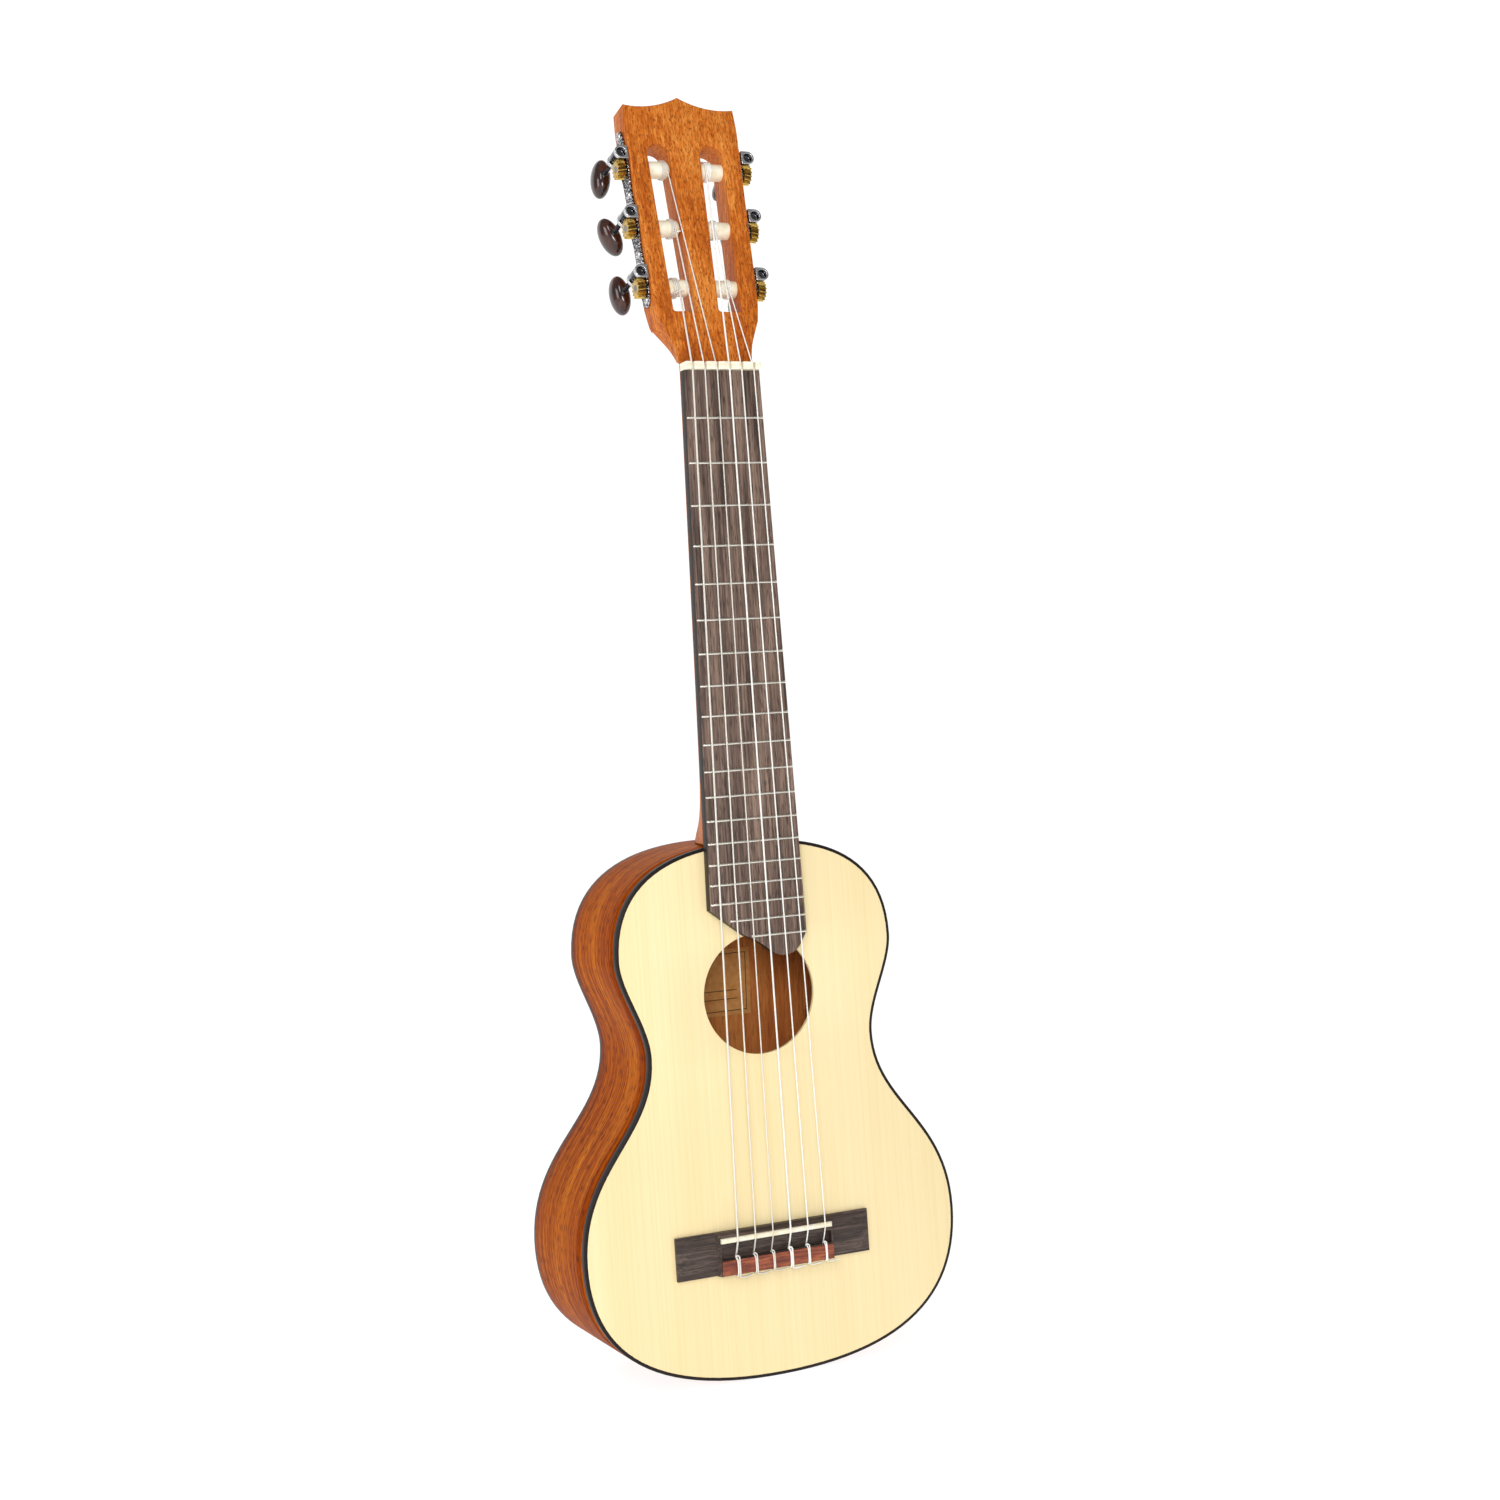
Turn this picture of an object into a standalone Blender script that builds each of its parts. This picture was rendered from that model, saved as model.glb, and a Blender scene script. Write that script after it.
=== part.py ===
"""Six-string guitalele: a small slotted-head nylon-string guitar with a flat back.

Metres, +Z up along the neck, the soundboard facing -Y and +X to the right of someone facing it.
The base empty puts the soundboard's outer face at local y = 0 and the tail of the body at z = 0.
The head_face empty lies in the pitched face of the head: its y is depth into the head and its z
is length along it, measured from the end of the fingerboard. The head tapers towards the nut, so
each side has an empty of its own there, turned by the taper, for its slot and its machines.
"""
from math import asin, atan2, ceil, cos, pi, radians, sin, sqrt, tan

import bmesh
import bpy
from mathutils import Vector

GAP = 0.0003                    # left between pieces that touch
CUT_PAST = 0.0010               # how far a cutter runs past what it cuts

# Body
BODY_LENGTH = 0.2938
UPPER_HALF, UPPER_DOWN = 0.0825, 0.059      # half width of the upper bout, and how far down it lies
WAIST_HALF, WAIST_DOWN = 0.0675, 0.1125
LOWER_HALF, LOWER_DOWN = 0.1115, 0.2178
UPPER_ARCH = (0.30, 0.95)       # how far each end of a curve runs on straight, as shares of what it spans
UPPER_TO_WAIST = (0.31, 0.33)
WAIST_TO_LOWER = (0.39, 0.50)
LOWER_TO_TAIL = (0.66, 0.67)
OUTLINE_STEPS = 9               # straight pieces in each of the outline's four curves
TAIL_DEPTH = 0.0905             # soundboard face to back face, at the tail
SHOULDER_DEPTH = 0.0680         # the same, where the neck joins
TOP_THICKNESS = 0.0025
BACK_THICKNESS = 0.0025
RIB_THICKNESS = 0.0018          # the binding is as thick as the ribs that it sits on
TOP_BINDING_HEIGHT = 0.0040
BACK_BINDING_HEIGHT = 0.0030
LINING_WIDTH = 0.0050
LINING_HEIGHT = 0.0110
HOLE_RADIUS = 0.0330
HOLE_Z = 0.2096

# Neck, fingerboard and frets
FRET_SCALE = 0.4650             # the length that the fret rule divides
SADDLE_SETBACK = 0.0073         # how much farther than that the saddle stands
FRET_COUNT = 19
JOIN_FRET = 14                  # the fret above the body's edge
NUT_WIDTH = 0.0450
BOARD_END_WIDTH = 0.0570
BOARD_THICKNESS = 0.0054
SLANT_RISE = 0.0158             # how much higher the board's end is on the bass side
SLANT_RUN = 1.32                # how fast the frets there shorten
FRET_WIDTH = 0.0020
FRET_HEIGHT = 0.0011
FRET_INSET = 0.0022             # the short frets stop this far inside the slanted end
FRET_SEAT = 0.0004              # how far a fret is let into the board, and how tall its straight sides are
FRET_CROWN = 0.4                # share of a fret's width that is flat on top
BOARD_TONGUE = ((0.0245, 0.0067), (0.0210, 0.0125), (0.0120, 0.0145), (0.0050, 0.0080))
                                # the curve of the board's end over the sound hole: x, and how far below fret 19
BOARD_SLOPE = ((-0.0013, 0.0024), (-0.0088, -0.0007))       # and the corners from there to the slanted end
NUT_THICKNESS = 0.0043
NUT_STAND = 0.0013              # how far the nut stands above the strings' centre lines
NUT_SLOT_FALL = 0.0025          # how much deeper its slots are on the head's side
NECK_DEPTH = 0.0145
SHAFT_AT_HEEL = 0.0165          # depth of the neck's shaft where it runs into the heel
HEEL_DEPTH = 0.0600
HEEL_LENGTH = 0.0420
HEEL_CURVE = ((0.0, 1.0), (0.03, 0.985), (0.12, 0.87), (0.24, 0.66), (0.38, 0.45), (0.54, 0.28),
              (0.74, 0.13), (1.0, 0.03))        # shares of the heel's length and of its depth
HEEL_FULLNESS, HEEL_NARROWING = 0.45, 0.52      # how full, and how narrow behind, the heel's end is

# Head
HEAD_PITCH = radians(10.8)
FACE_DROP = 0.0010              # the face starts this far behind the neck's top
HEAD_HALF = 0.0325              # at the middle rollers
HEAD_TAPER = radians(1.5)       # how far each side leans outward
HEAD_LENGTH = 0.1572            # along the face, to its top corners
CORNER_HALF = 0.0333            # half width there, where the sides have turned in again
SIDE_TOP = 0.1390               # where the straight sides end
SIDE_FOOT = 0.0460              # where they start to turn in
SHOULDER_HALF, SHOULDER_LENGTH = 0.0296, 0.0310
SHOULDER_START = 0.35           # share of the shoulder's length over which it leaves the nut straight
SHOULDER_SWEEP = (0.86, 0.66)   # shares of the shoulder's half width and length that its curve aims at
SHOULDER_FLARE = 0.97           # the same for the short curve above its corner, across
SHOULDER_CORNER = 0.0050        # and how far that curve runs on straight
SQUARENESS = 0.85               # how square the neck's section has become where it meets the head
BLANK_LAP = 0.0060              # how far below the shoulder's corner the head's own block starts
TOP_TURN = 0.0060               # how far the sides' turn inward runs on straight at each end
TOP_BELLY = 1.01                # and how far it swings out first, as a share of the half width
CROWN_RISE = 0.0058
CROWN_CURVE = ((0.0220, -0.0020), (0.0100, 0.0005))     # its handles: x, and height above the top corners
HEAD_THICKNESS = 0.0160
SLOT_INNER, SLOT_OUTER = 0.0080, 0.0217     # from the centre, at the middle rollers
SLOT_START, SLOT_END = 0.0360, 0.1350

# Tuning machines
FIRST_ROLLER = 0.0518           # along the face, from the end of the fingerboard
ROLLER_PITCH = 0.0350
ROLLER_DEPTH = 0.0065
ROLLER_RADIUS = 0.0048
ROLLER_PIN_RADIUS = 0.0025
ROLLER_PIN_LENGTH = 0.0040
ROLLER_END = ((0.0016, 0.0008), (0.0026, 0.0))      # its rounded end: distance out from the slot's wall, and trim
AXLE_RADIUS = 0.0020
SPACER_WALL = 0.0012            # the collar on the axle between the plate and the gear
PLATE_THICKNESS = 0.0010
PLATE_HALF_WIDTH = 0.0062
PLATE_SCALLOP = 0.14            # how deep the scallops are, as a share of the half width
PLATE_END = 0.25                # how wide its ends are, as a share
PLATE_END_POWER = 16            # how suddenly the ends round off
GEAR_TEETH = 14
GEAR_MODULE = 0.00072
GEAR_WIDTH = 0.0046
FLANK_SLOPE = tan(radians(20))  # of the teeth's and the thread's sides
TOOTH_RISE = 0.00064            # from the pitch circle to a tooth's tip
TOOTH_FALL = 0.00078            # from the pitch circle to its root
BACKLASH = 0.00034              # taken off each tooth and each turn of thread
WORM_RADIUS = 0.0031
WORM_TURNS = 3.2
WORM_FLANGE = 0.0006            # height and width of the low flange at each end of the worm
MESH_SLACK = 0.00012            # extra distance between a gear's axis and its worm's
JOURNAL_RADIUS = 0.0018
EAR_RADIUS = 0.0038
EAR_WIDTH = 0.0024
JOURNAL_SINK = 0.0014           # how far the worm's end lies inside its front ear
COVER_WALL = 0.0003             # the curved cover over each worm
COVER_INSET = 0.0001            # how far its outside lies below the ears'
COVER_OPEN = radians(20)        # how far the cover reaches down on its outer side
COLLAR_RADIUS, COLLAR_LENGTH, COLLAR_TAPER = 0.0026, 0.0026, 0.0010     # behind the rear ear
STEM_RADIUS = 0.0016
STEM_PAST_MIDDLE = 0.0010       # how far past the button's middle the stem runs
BUTTON_DEPTH = 0.0350           # centre of a button behind the head's face
BUTTON_LONG, BUTTON_WIDE, BUTTON_THICK = 0.0226, 0.0152, 0.0106
BUTTON_FULLNESS = 0.75          # 1 makes a plain oval, less a fuller one
BUTTON_TURNS = {1: 20, 2: -15, 3: 35, 4: 8, 5: -20, 6: -6}      # degrees about the stem, as left after tuning
PLATE_BELOW, PLATE_ABOVE = 0.0105, 0.0230    # how far a plate runs past its end rollers

# Bridge and strings
BRIDGE_SHIFT = -0.0022          # the bridge is glued a little to the bass side of the centre
BRIDGE_HALF = 0.0578
BRIDGE_ABOVE = 0.0042           # bridge wood on the neck's side of the saddle's centre
BRIDGE_BELOW = 0.0192           # and on the tail's side
BRIDGE_CENTRE_HALF = 0.0338
BRIDGE_HEIGHT = 0.0066
BRIDGE_LIP = 0.0042             # height of the raised centre along its edge towards the neck
WING_RIDGE, WING_EDGE = 0.0044, 0.0022      # heights of the wings' ridge and of their edges
WING_HIP = 0.0062               # how far in from each end the ridge starts
WING_STEP = 0.0012              # width of the step up to the centre
TIE_WIDTH = 0.0088
TIE_STRIP = 0.0010
SADDLE_THICKNESS = 0.0028
SADDLE_HALF = 0.0333
SADDLE_STAND = 0.0018           # how far the saddle stands above the bridge
SADDLE_SEAT = 0.0022            # the slot's floor above the soundboard
SADDLE_SHOULDER = 0.0018        # bridge wood between the saddle and the channel
CHANNEL_FLOOR = 0.0026          # the channel's floor above the soundboard
CHANNEL_END = 0.0008            # bridge wood left at each end of the channel
LIP_WIDTH = 0.0008              # flat bridge wood in front of the saddle
STRIP_INSET = 0.0004            # the strip stops this far short of the tie block's edges
TIE_HOLE_DROP = 0.0024          # depth of the tie holes' centres below the tie block's top
NUT_SPREAD = 0.0365
SADDLE_SPREAD = 0.0528
ACTION_AT_NUT = 0.0007
GAUGES = {1: 0.00070, 2: 0.00080, 3: 0.00100, 4: 0.00074, 5: 0.00088, 6: 0.00108}
STRING_TAIL, STRING_RISE = 0.0006, 0.0004   # how far a string shows below the tie block and above it
WINDING_TURNS = 1.8
WINDING_SLACK = 0.0002          # between one turn and the next
WINDING_STARTS = {1: 0.0158, 2: 0.0120, 3: 0.0110, 4: 0.0110, 5: 0.0120, 6: 0.0158}     # from the centre

# Bracing
BRACE_WIDTH = 0.0060
BRACE_HEIGHT = 0.0090
BRACE_OFF_HOLE = 0.0085         # from the sound hole's edge to the middle of each brace beside it
BACK_BRACES = {"upper": 0.86, "middle": 0.46, "lower": 0.20}    # shares of the body's length
FAN_WIDTH = 0.0050
FAN_HEIGHT = 0.0070
FAN_SPREAD = 0.0240             # between the fan braces at their top ends
FAN_LEAN = radians(11)
FAN_OFF_BRACE = 0.0020
FAN_OFF_TAIL = 0.0100
OUTER_FAN_SHARE = 0.94          # length of the outer fan braces against the middle one
BRIDGE_PLATE_HALF = 0.0520
BRIDGE_PLATE_MARGIN = 0.0045    # how far the bridge plate runs past the bridge, up and down
BRIDGE_PLATE_THICKNESS = 0.0020
NECK_BLOCK_HALF, NECK_BLOCK_DEEP = 0.0280, 0.0300
TAIL_BLOCK_HALF, TAIL_BLOCK_DEEP = 0.0220, 0.0160
LABEL_WIDTH, LABEL_LENGTH, LABEL_THICKNESS = 0.0520, 0.0390, 0.0003

# Worked out from the sizes above
NUT_Z = BODY_LENGTH + FRET_SCALE * (1 - 2 ** (-JOIN_FRET / 12))
SADDLE_Z = NUT_Z - FRET_SCALE - SADDLE_SETBACK
BOARD_TOP = -GAP - BOARD_THICKNESS
FRET_TOP = BOARD_TOP - FRET_HEIGHT
SIDE_MIDDLE = FIRST_ROLLER + ROLLER_PITCH
HEAD_SIDE_PLATE = HEAD_HALF + GAP
GEAR_RADIUS = GEAR_TEETH * GEAR_MODULE / 2
THREAD_PITCH = pi * GEAR_MODULE
WORM_PITCH_RADIUS = WORM_RADIUS - TOOTH_RISE
MACHINE_CENTRES = GEAR_RADIUS + WORM_PITCH_RADIUS + MESH_SLACK
WORM_X = HEAD_SIDE_PLATE + PLATE_THICKNESS + WORM_RADIUS + GAP
LEAD_SLOPE = THREAD_PITCH / (2 * pi * WORM_PITCH_RADIUS)
WORM_HALF = WORM_TURNS * THREAD_PITCH / 2 + WORM_FLANGE
BRIDGE_TOP_Z = SADDLE_Z + BRIDGE_ABOVE
BRIDGE_TAIL_Z = SADDLE_Z - BRIDGE_BELOW
TIE_TOP_Z = BRIDGE_TAIL_Z + TIE_WIDTH
SADDLE_HEIGHT = BRIDGE_HEIGHT + SADDLE_STAND
TIE_HOLE_Y = TIE_HOLE_DROP - BRIDGE_HEIGHT
STRING_FRONT = SADDLE_HEIGHT + GAP + max(GAUGES.values())
BASE_Y = -(TAIL_DEPTH - STRING_FRONT) / 2       # centres the object's box on y = 0


def back_y(z):
    """Depth of the back's outer face behind the soundboard's, at a height."""
    return TAIL_DEPTH + (SHOULDER_DEPTH - TAIL_DEPTH) * z / BODY_LENGTH


def fret_z(number):
    return NUT_Z - FRET_SCALE * (1 - 2 ** (-number / 12))


def board_half(z):
    """Half width of the fingerboard at a height."""
    return (NUT_WIDTH + (BOARD_END_WIDTH - NUT_WIDTH) * (NUT_Z - z) / (NUT_Z - fret_z(FRET_COUNT))) / 2


def string_x(number, spread):
    """String 1 is the thinnest and lies on the right, string 6 on the left."""
    return spread * (3.5 - number) / 5


def head_half(length):
    """Half width of the head at a length, along its straight sides."""
    return HEAD_HALF + (length - SIDE_MIDDLE) * tan(HEAD_TAPER)


# Helpers that make and name objects

def clear_scene():
    for item in list(bpy.data.objects):
        bpy.data.objects.remove(item, do_unlink=True)


def material(name, colour, roughness, metallic=0.0):
    made = bpy.data.materials.new(name)
    made.use_nodes = True
    shader = made.node_tree.nodes["Principled BSDF"]
    shader.inputs["Base Color"].default_value = (*colour, 1.0)
    shader.inputs["Roughness"].default_value = roughness
    shader.inputs["Metallic"].default_value = metallic
    return made


SPRUCE = ((0.86, 0.74, 0.52), 0.45, 0.0)
MAHOGANY = ((0.42, 0.13, 0.05), 0.45, 0.0)
NECK_WOOD = ((0.55, 0.22, 0.07), 0.50, 0.0)
ROSEWOOD = ((0.09, 0.055, 0.045), 0.55, 0.0)
BLACK = ((0.012, 0.011, 0.011), 0.40, 0.0)
INNER_WOOD = ((0.62, 0.42, 0.24), 0.70, 0.0)
BONE = ((0.85, 0.79, 0.64), 0.35, 0.0)
STEEL = ((0.16, 0.16, 0.17), 0.30, 1.0)
BRASS = ((0.62, 0.42, 0.13), 0.30, 1.0)
BUTTON = ((0.055, 0.018, 0.012), 0.30, 0.0)
PAPER = ((0.70, 0.55, 0.34), 0.80, 0.0)
CLEAR_NYLON = ((0.85, 0.84, 0.80), 0.30, 0.0)
WOUND = ((0.60, 0.58, 0.55), 0.35, 1.0)


def empty(name, parent=None, location=(0, 0, 0), turn=(0, 0, 0)):
    made = bpy.data.objects.new(name, None)
    made.location = location
    made.rotation_euler = turn
    made.parent = parent
    bpy.context.collection.objects.link(made)
    return made


def add(name, mesh, parent, location=(0, 0, 0), look=None, turn=(0, 0, 0)):
    made = bpy.data.objects.new(name, mesh)
    made.parent = parent
    made.location = location
    made.rotation_euler = turn
    if look:
        made.data.materials.append(material(name, *look))
    bpy.context.collection.objects.link(made)
    return made


def cutter(name, mesh, parent, location=(0, 0, 0), turn=(0, 0, 0)):
    made = add(name, mesh, parent, location, turn=turn)
    made.hide_render = True
    made.display_type = "WIRE"
    return made


def boolean(target, tool, operation="DIFFERENCE"):
    step = target.modifiers.new(tool.name, "BOOLEAN")
    step.operation = operation
    step.object = tool
    step.solver = "EXACT"


def finish_mesh(name, bm, smooth_angle=35):
    bmesh.ops.recalc_face_normals(bm, faces=bm.faces)
    mesh = bpy.data.meshes.new(name)
    bm.to_mesh(mesh)
    bm.free()
    mesh.shade_smooth()
    mesh.set_sharp_from_angle(angle=radians(smooth_angle))
    return mesh


# Helpers that make shapes

def loft(name, rings, closed=False):
    """Joins rings of points that have the same count; the ends are capped unless it closes."""
    bm = bmesh.new()
    add_loft(bm, rings, closed)
    return finish_mesh(name, bm)


def add_loft(bm, rings, closed=False):
    made = [[bm.verts.new(point) for point in ring] for ring in rings]
    pairs = list(zip(made, made[1:]))
    if closed:
        pairs.append((made[-1], made[0]))
    for here, there in pairs:
        for i in range(len(here)):
            j = (i + 1) % len(here)
            bm.faces.new((here[i], here[j], there[j], there[i]))
    if not closed:
        bm.faces.new(made[0])
        bm.faces.new(made[-1])


def box(name, low, high):
    bm = bmesh.new()
    add_box(bm, low, high)
    return finish_mesh(name, bm)


def add_box(bm, low, high):
    corners = [(low[0], low[1]), (high[0], low[1]), (high[0], high[1]), (low[0], high[1])]
    add_loft(bm, [[(x, y, z) for x, y in corners] for z in (low[2], high[2])])


def prism(name, outline, low, high, axis="y"):
    """Extrudes an outline along an axis: (x, z) points along y, or (y, z) points along x."""
    if axis == "y":
        return loft(name, [[(x, y, z) for x, z in outline] for y in (low, high)])
    return loft(name, [[(x, y, z) for y, z in outline] for x in (low, high)])


def turned(name, profile, axis="y", segments=16):
    bm = bmesh.new()
    add_turned(bm, profile, axis, segments)
    return finish_mesh(name, bm)


def add_turned(bm, profile, axis, segments, centre=(0, 0)):
    """Turns a profile of (length, radius) points about an axis that runs through a centre."""
    rings = []
    for length, radius in profile:
        ring = []
        for k in range(segments):
            a = centre[0] + radius * cos(2 * pi * k / segments)
            b = centre[1] + radius * sin(2 * pi * k / segments)
            ring.append((length, a, b) if axis == "x" else (a, length, b) if axis == "y" else (a, b, length))
        rings.append(ring)
    add_loft(bm, rings)


def bezier(start, first, second, end, steps):
    """Points along one cubic curve, without its last one."""
    points = []
    for k in range(steps):
        t = k / steps
        weights = ((1 - t) ** 3, 3 * t * (1 - t) ** 2, 3 * t * t * (1 - t), t ** 3)
        corners = (start, first, second, end)
        points.append(tuple(sum(w * p[i] for w, p in zip(weights, corners)) for i in (0, 1)))
    return points


def half_outline():
    """The right half of the body's outline, from the neck joint down to the tail, as (x, z)."""
    top, tail = BODY_LENGTH, 0.0
    upper, waist, lower = top - UPPER_DOWN, top - WAIST_DOWN, top - LOWER_DOWN
    start, end = UPPER_ARCH
    points = bezier((0, top), (UPPER_HALF * start, top), (UPPER_HALF, upper + UPPER_DOWN * end),
                    (UPPER_HALF, upper), OUTLINE_STEPS)
    start, end = UPPER_TO_WAIST
    fall = upper - waist
    points += bezier((UPPER_HALF, upper), (UPPER_HALF, upper - start * fall), (WAIST_HALF, waist + end * fall),
                     (WAIST_HALF, waist), OUTLINE_STEPS)
    start, end = WAIST_TO_LOWER
    fall = waist - lower
    points += bezier((WAIST_HALF, waist), (WAIST_HALF, waist - start * fall), (LOWER_HALF, lower + end * fall),
                     (LOWER_HALF, lower), OUTLINE_STEPS)
    start, end = LOWER_TO_TAIL
    fall = lower - tail
    points += bezier((LOWER_HALF, lower), (LOWER_HALF, lower - start * fall), (LOWER_HALF * end, tail),
                     (0, tail), OUTLINE_STEPS)
    return points + [(0.0, tail)]


def body_outline(inset):
    """The whole outline, clockwise from the neck joint, moved inward by an inset."""
    half = half_outline()
    loop = half + [(-x, z) for x, z in reversed(half[1:-1])]
    moved = []
    for i, (x, z) in enumerate(loop):
        before, after = loop[i - 1], loop[(i + 1) % len(loop)]
        along = Vector((after[0] - before[0], after[1] - before[1])).normalized()
        moved.append((x + along.y * inset, z - along.x * inset))
    return moved


def half_band(side, outer, inner, split, front, back):
    """Rings of a strip along one half of the outline, between two insets and two depth rules.

    It stops where the strip is closer than split to the centre plane.
    """
    count = len(half_outline())
    outside, inside = body_outline(outer)[:count], body_outline(inner)[:count]
    rings = []
    for i in range(count):
        last = i == 0 or i == count - 1
        if last:
            outside[i] = (split, outside[i][1])
            inside[i] = (split, inside[i][1])
        elif min(outside[i][0], inside[i][0]) < split + RIB_THICKNESS / 2:
            continue
        ring = []
        for (x, z), rule in ((outside[i], front), (inside[i], front), (inside[i], back), (outside[i], back)):
            ring.append((side * x, rule(z), z))
        rings.append(ring)
    return rings


# The body

def make_plate(name, base, inset, front, back, look):
    """A flat plate that fills the outline, between two depth rules."""
    points = body_outline(inset)
    mesh = loft(name, [[(x, rule(z), z) for x, z in points] for rule in (front, back)])
    return add(name, mesh, base, look=look)


def make_body(base):
    edge = RIB_THICKNESS + GAP
    soundboard = make_plate("soundboard", base, edge, lambda z: 0.0, lambda z: TOP_THICKNESS, SPRUCE)
    hole = turned("sound_hole_cutter", [(-CUT_PAST, HOLE_RADIUS), (TOP_THICKNESS + CUT_PAST, HOLE_RADIUS)],
                  segments=48)
    hole = cutter("sound_hole_cutter", hole, base, (0, 0, HOLE_Z))
    boolean(soundboard, hole)
    make_plate("back", base, edge, lambda z: back_y(z) - BACK_THICKNESS, back_y, MAHOGANY)

    for name, front, rear in (
        ("binding_top", lambda z: 0.0, lambda z: TOP_BINDING_HEIGHT),
        ("binding_back", lambda z: back_y(z) - BACK_BINDING_HEIGHT, back_y),
    ):
        outside, inside = body_outline(0.0), body_outline(RIB_THICKNESS)
        rings = []
        for (x, z), (u, w) in zip(outside, inside):
            rings.append([(x, front(z), z), (u, front(w), w), (u, rear(w), w), (x, rear(z), z)])
        add(name, loft(name, rings, closed=True), base, look=BLACK)

    rib_front = lambda z: TOP_BINDING_HEIGHT + GAP
    rib_back = lambda z: back_y(z) - BACK_BINDING_HEIGHT - GAP
    for word, side in (("bass", -1), ("treble", 1)):
        rings = half_band(side, 0.0, RIB_THICKNESS, GAP / 2, rib_front, rib_back)
        add("rib_" + word, loft("rib_" + word, rings), base, look=MAHOGANY)


def make_lining(name, base, side, front, back):
    """A strip inside one rib, from the neck block round to the tail block."""
    edge = RIB_THICKNESS + GAP
    rings = half_band(side, edge, edge + LINING_WIDTH, 0.0, front, back)
    kept = []
    for ring in rings:
        x, z = abs(ring[1][0]), ring[1][2]
        stop = NECK_BLOCK_HALF if z > BODY_LENGTH / 2 else TAIL_BLOCK_HALF
        if x > stop + 2 * GAP:
            kept.append(ring)
    add(name, loft(name, kept), base, look=INNER_WOOD)


def make_inside(base):
    edge = RIB_THICKNESS + GAP
    under_top = TOP_THICKNESS + GAP
    over_back = lambda z: back_y(z) - BACK_THICKNESS - GAP
    for word, side in (("bass", -1), ("treble", 1)):
        make_lining("top_lining_" + word, base, side,
                    lambda z: under_top, lambda z: under_top + LINING_HEIGHT)
        make_lining("back_lining_" + word, base, side,
                    lambda z: over_back(z) - LINING_HEIGHT, over_back)

    top, tail = end_heights(edge)
    for name, half, low, high in (
        ("neck_block", NECK_BLOCK_HALF, top - NECK_BLOCK_DEEP, top),
        ("tail_block", TAIL_BLOCK_HALF, tail, tail + TAIL_BLOCK_DEEP),
    ):
        rings = [[(-half, under_top, z), (half, under_top, z), (half, over_back(z), z), (-half, over_back(z), z)]
                 for z in (low, high)]
        add(name, loft(name, rings), base, look=INNER_WOOD)

    reach = edge + LINING_WIDTH + GAP
    upper_z, lower_z = HOLE_Z + HOLE_RADIUS + BRACE_OFF_HOLE, HOLE_Z - HOLE_RADIUS - BRACE_OFF_HOLE
    for name, z in (("top_brace_upper", upper_z), ("top_brace_lower", lower_z)):
        half = span_at(z, reach, BRACE_WIDTH)
        low = (-half, under_top, z - BRACE_WIDTH / 2)
        high = (half, under_top + BRACE_HEIGHT, z + BRACE_WIDTH / 2)
        add(name, box(name, low, high), base, look=INNER_WOOD)

    for word, share in BACK_BRACES.items():
        name, z = "back_brace_" + word, BODY_LENGTH * share
        half = span_at(z, reach, BRACE_WIDTH)
        rings = []
        for height in (z - BRACE_WIDTH / 2, z + BRACE_WIDTH / 2):
            rear = over_back(height)
            rings.append([(-half, rear - BRACE_HEIGHT, height), (half, rear - BRACE_HEIGHT, height),
                          (half, rear, height), (-half, rear, height)])
        add(name, loft(name, rings), base, look=INNER_WOOD)

    plate_low = (-BRIDGE_PLATE_HALF, under_top, BRIDGE_TAIL_Z - BRIDGE_PLATE_MARGIN)
    plate_high = (BRIDGE_PLATE_HALF, under_top + BRIDGE_PLATE_THICKNESS, BRIDGE_TOP_Z + BRIDGE_PLATE_MARGIN)
    add("bridge_plate", box("bridge_plate", plate_low, plate_high), base, look=INNER_WOOD)
    notch = cutter("fan_notch_cutter", box("fan_notch_cutter", [v - GAP for v in plate_low],
                                           [v + GAP for v in plate_high]), base)

    fan_top = lower_z - BRACE_WIDTH / 2 - FAN_OFF_BRACE
    fan_tail = TAIL_BLOCK_DEEP + edge + FAN_OFF_TAIL
    for word, side in (("bass", -1), ("middle", 0), ("treble", 1)):
        name = "fan_brace_" + word
        length = (fan_top - fan_tail) * (OUTER_FAN_SHARE if side else 1.0)
        mesh = box(name, (-FAN_WIDTH / 2, 0, -length), (FAN_WIDTH / 2, FAN_HEIGHT, 0))
        where = (side * FAN_SPREAD, under_top, fan_top - abs(side) * FAN_WIDTH / 2 * sin(FAN_LEAN))
        brace = add(name, mesh, base, where, INNER_WOOD, (0, -side * FAN_LEAN, 0))
        boolean(brace, notch)

    rings = []
    for height in (HOLE_Z - LABEL_LENGTH / 2, HOLE_Z + LABEL_LENGTH / 2):
        rear = over_back(height)
        rings.append([(-LABEL_WIDTH / 2, rear - LABEL_THICKNESS, height),
                      (LABEL_WIDTH / 2, rear - LABEL_THICKNESS, height),
                      (LABEL_WIDTH / 2, rear, height), (-LABEL_WIDTH / 2, rear, height)])
    add("label", loft("label", rings), base, look=PAPER)


def end_heights(inset):
    """Where the inset outline is as wide as the neck block, and where it is as wide as the tail block."""
    points = body_outline(inset)[:len(half_outline())]
    heights = []
    for half, ordered in ((NECK_BLOCK_HALF, points), (TAIL_BLOCK_HALF, points[::-1])):
        for (x0, z0), (x1, z1) in zip(ordered, ordered[1:]):
            if x0 <= half < x1:
                heights.append(z0 + (z1 - z0) * (half - x0) / (x1 - x0))
                break
    return heights


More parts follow.
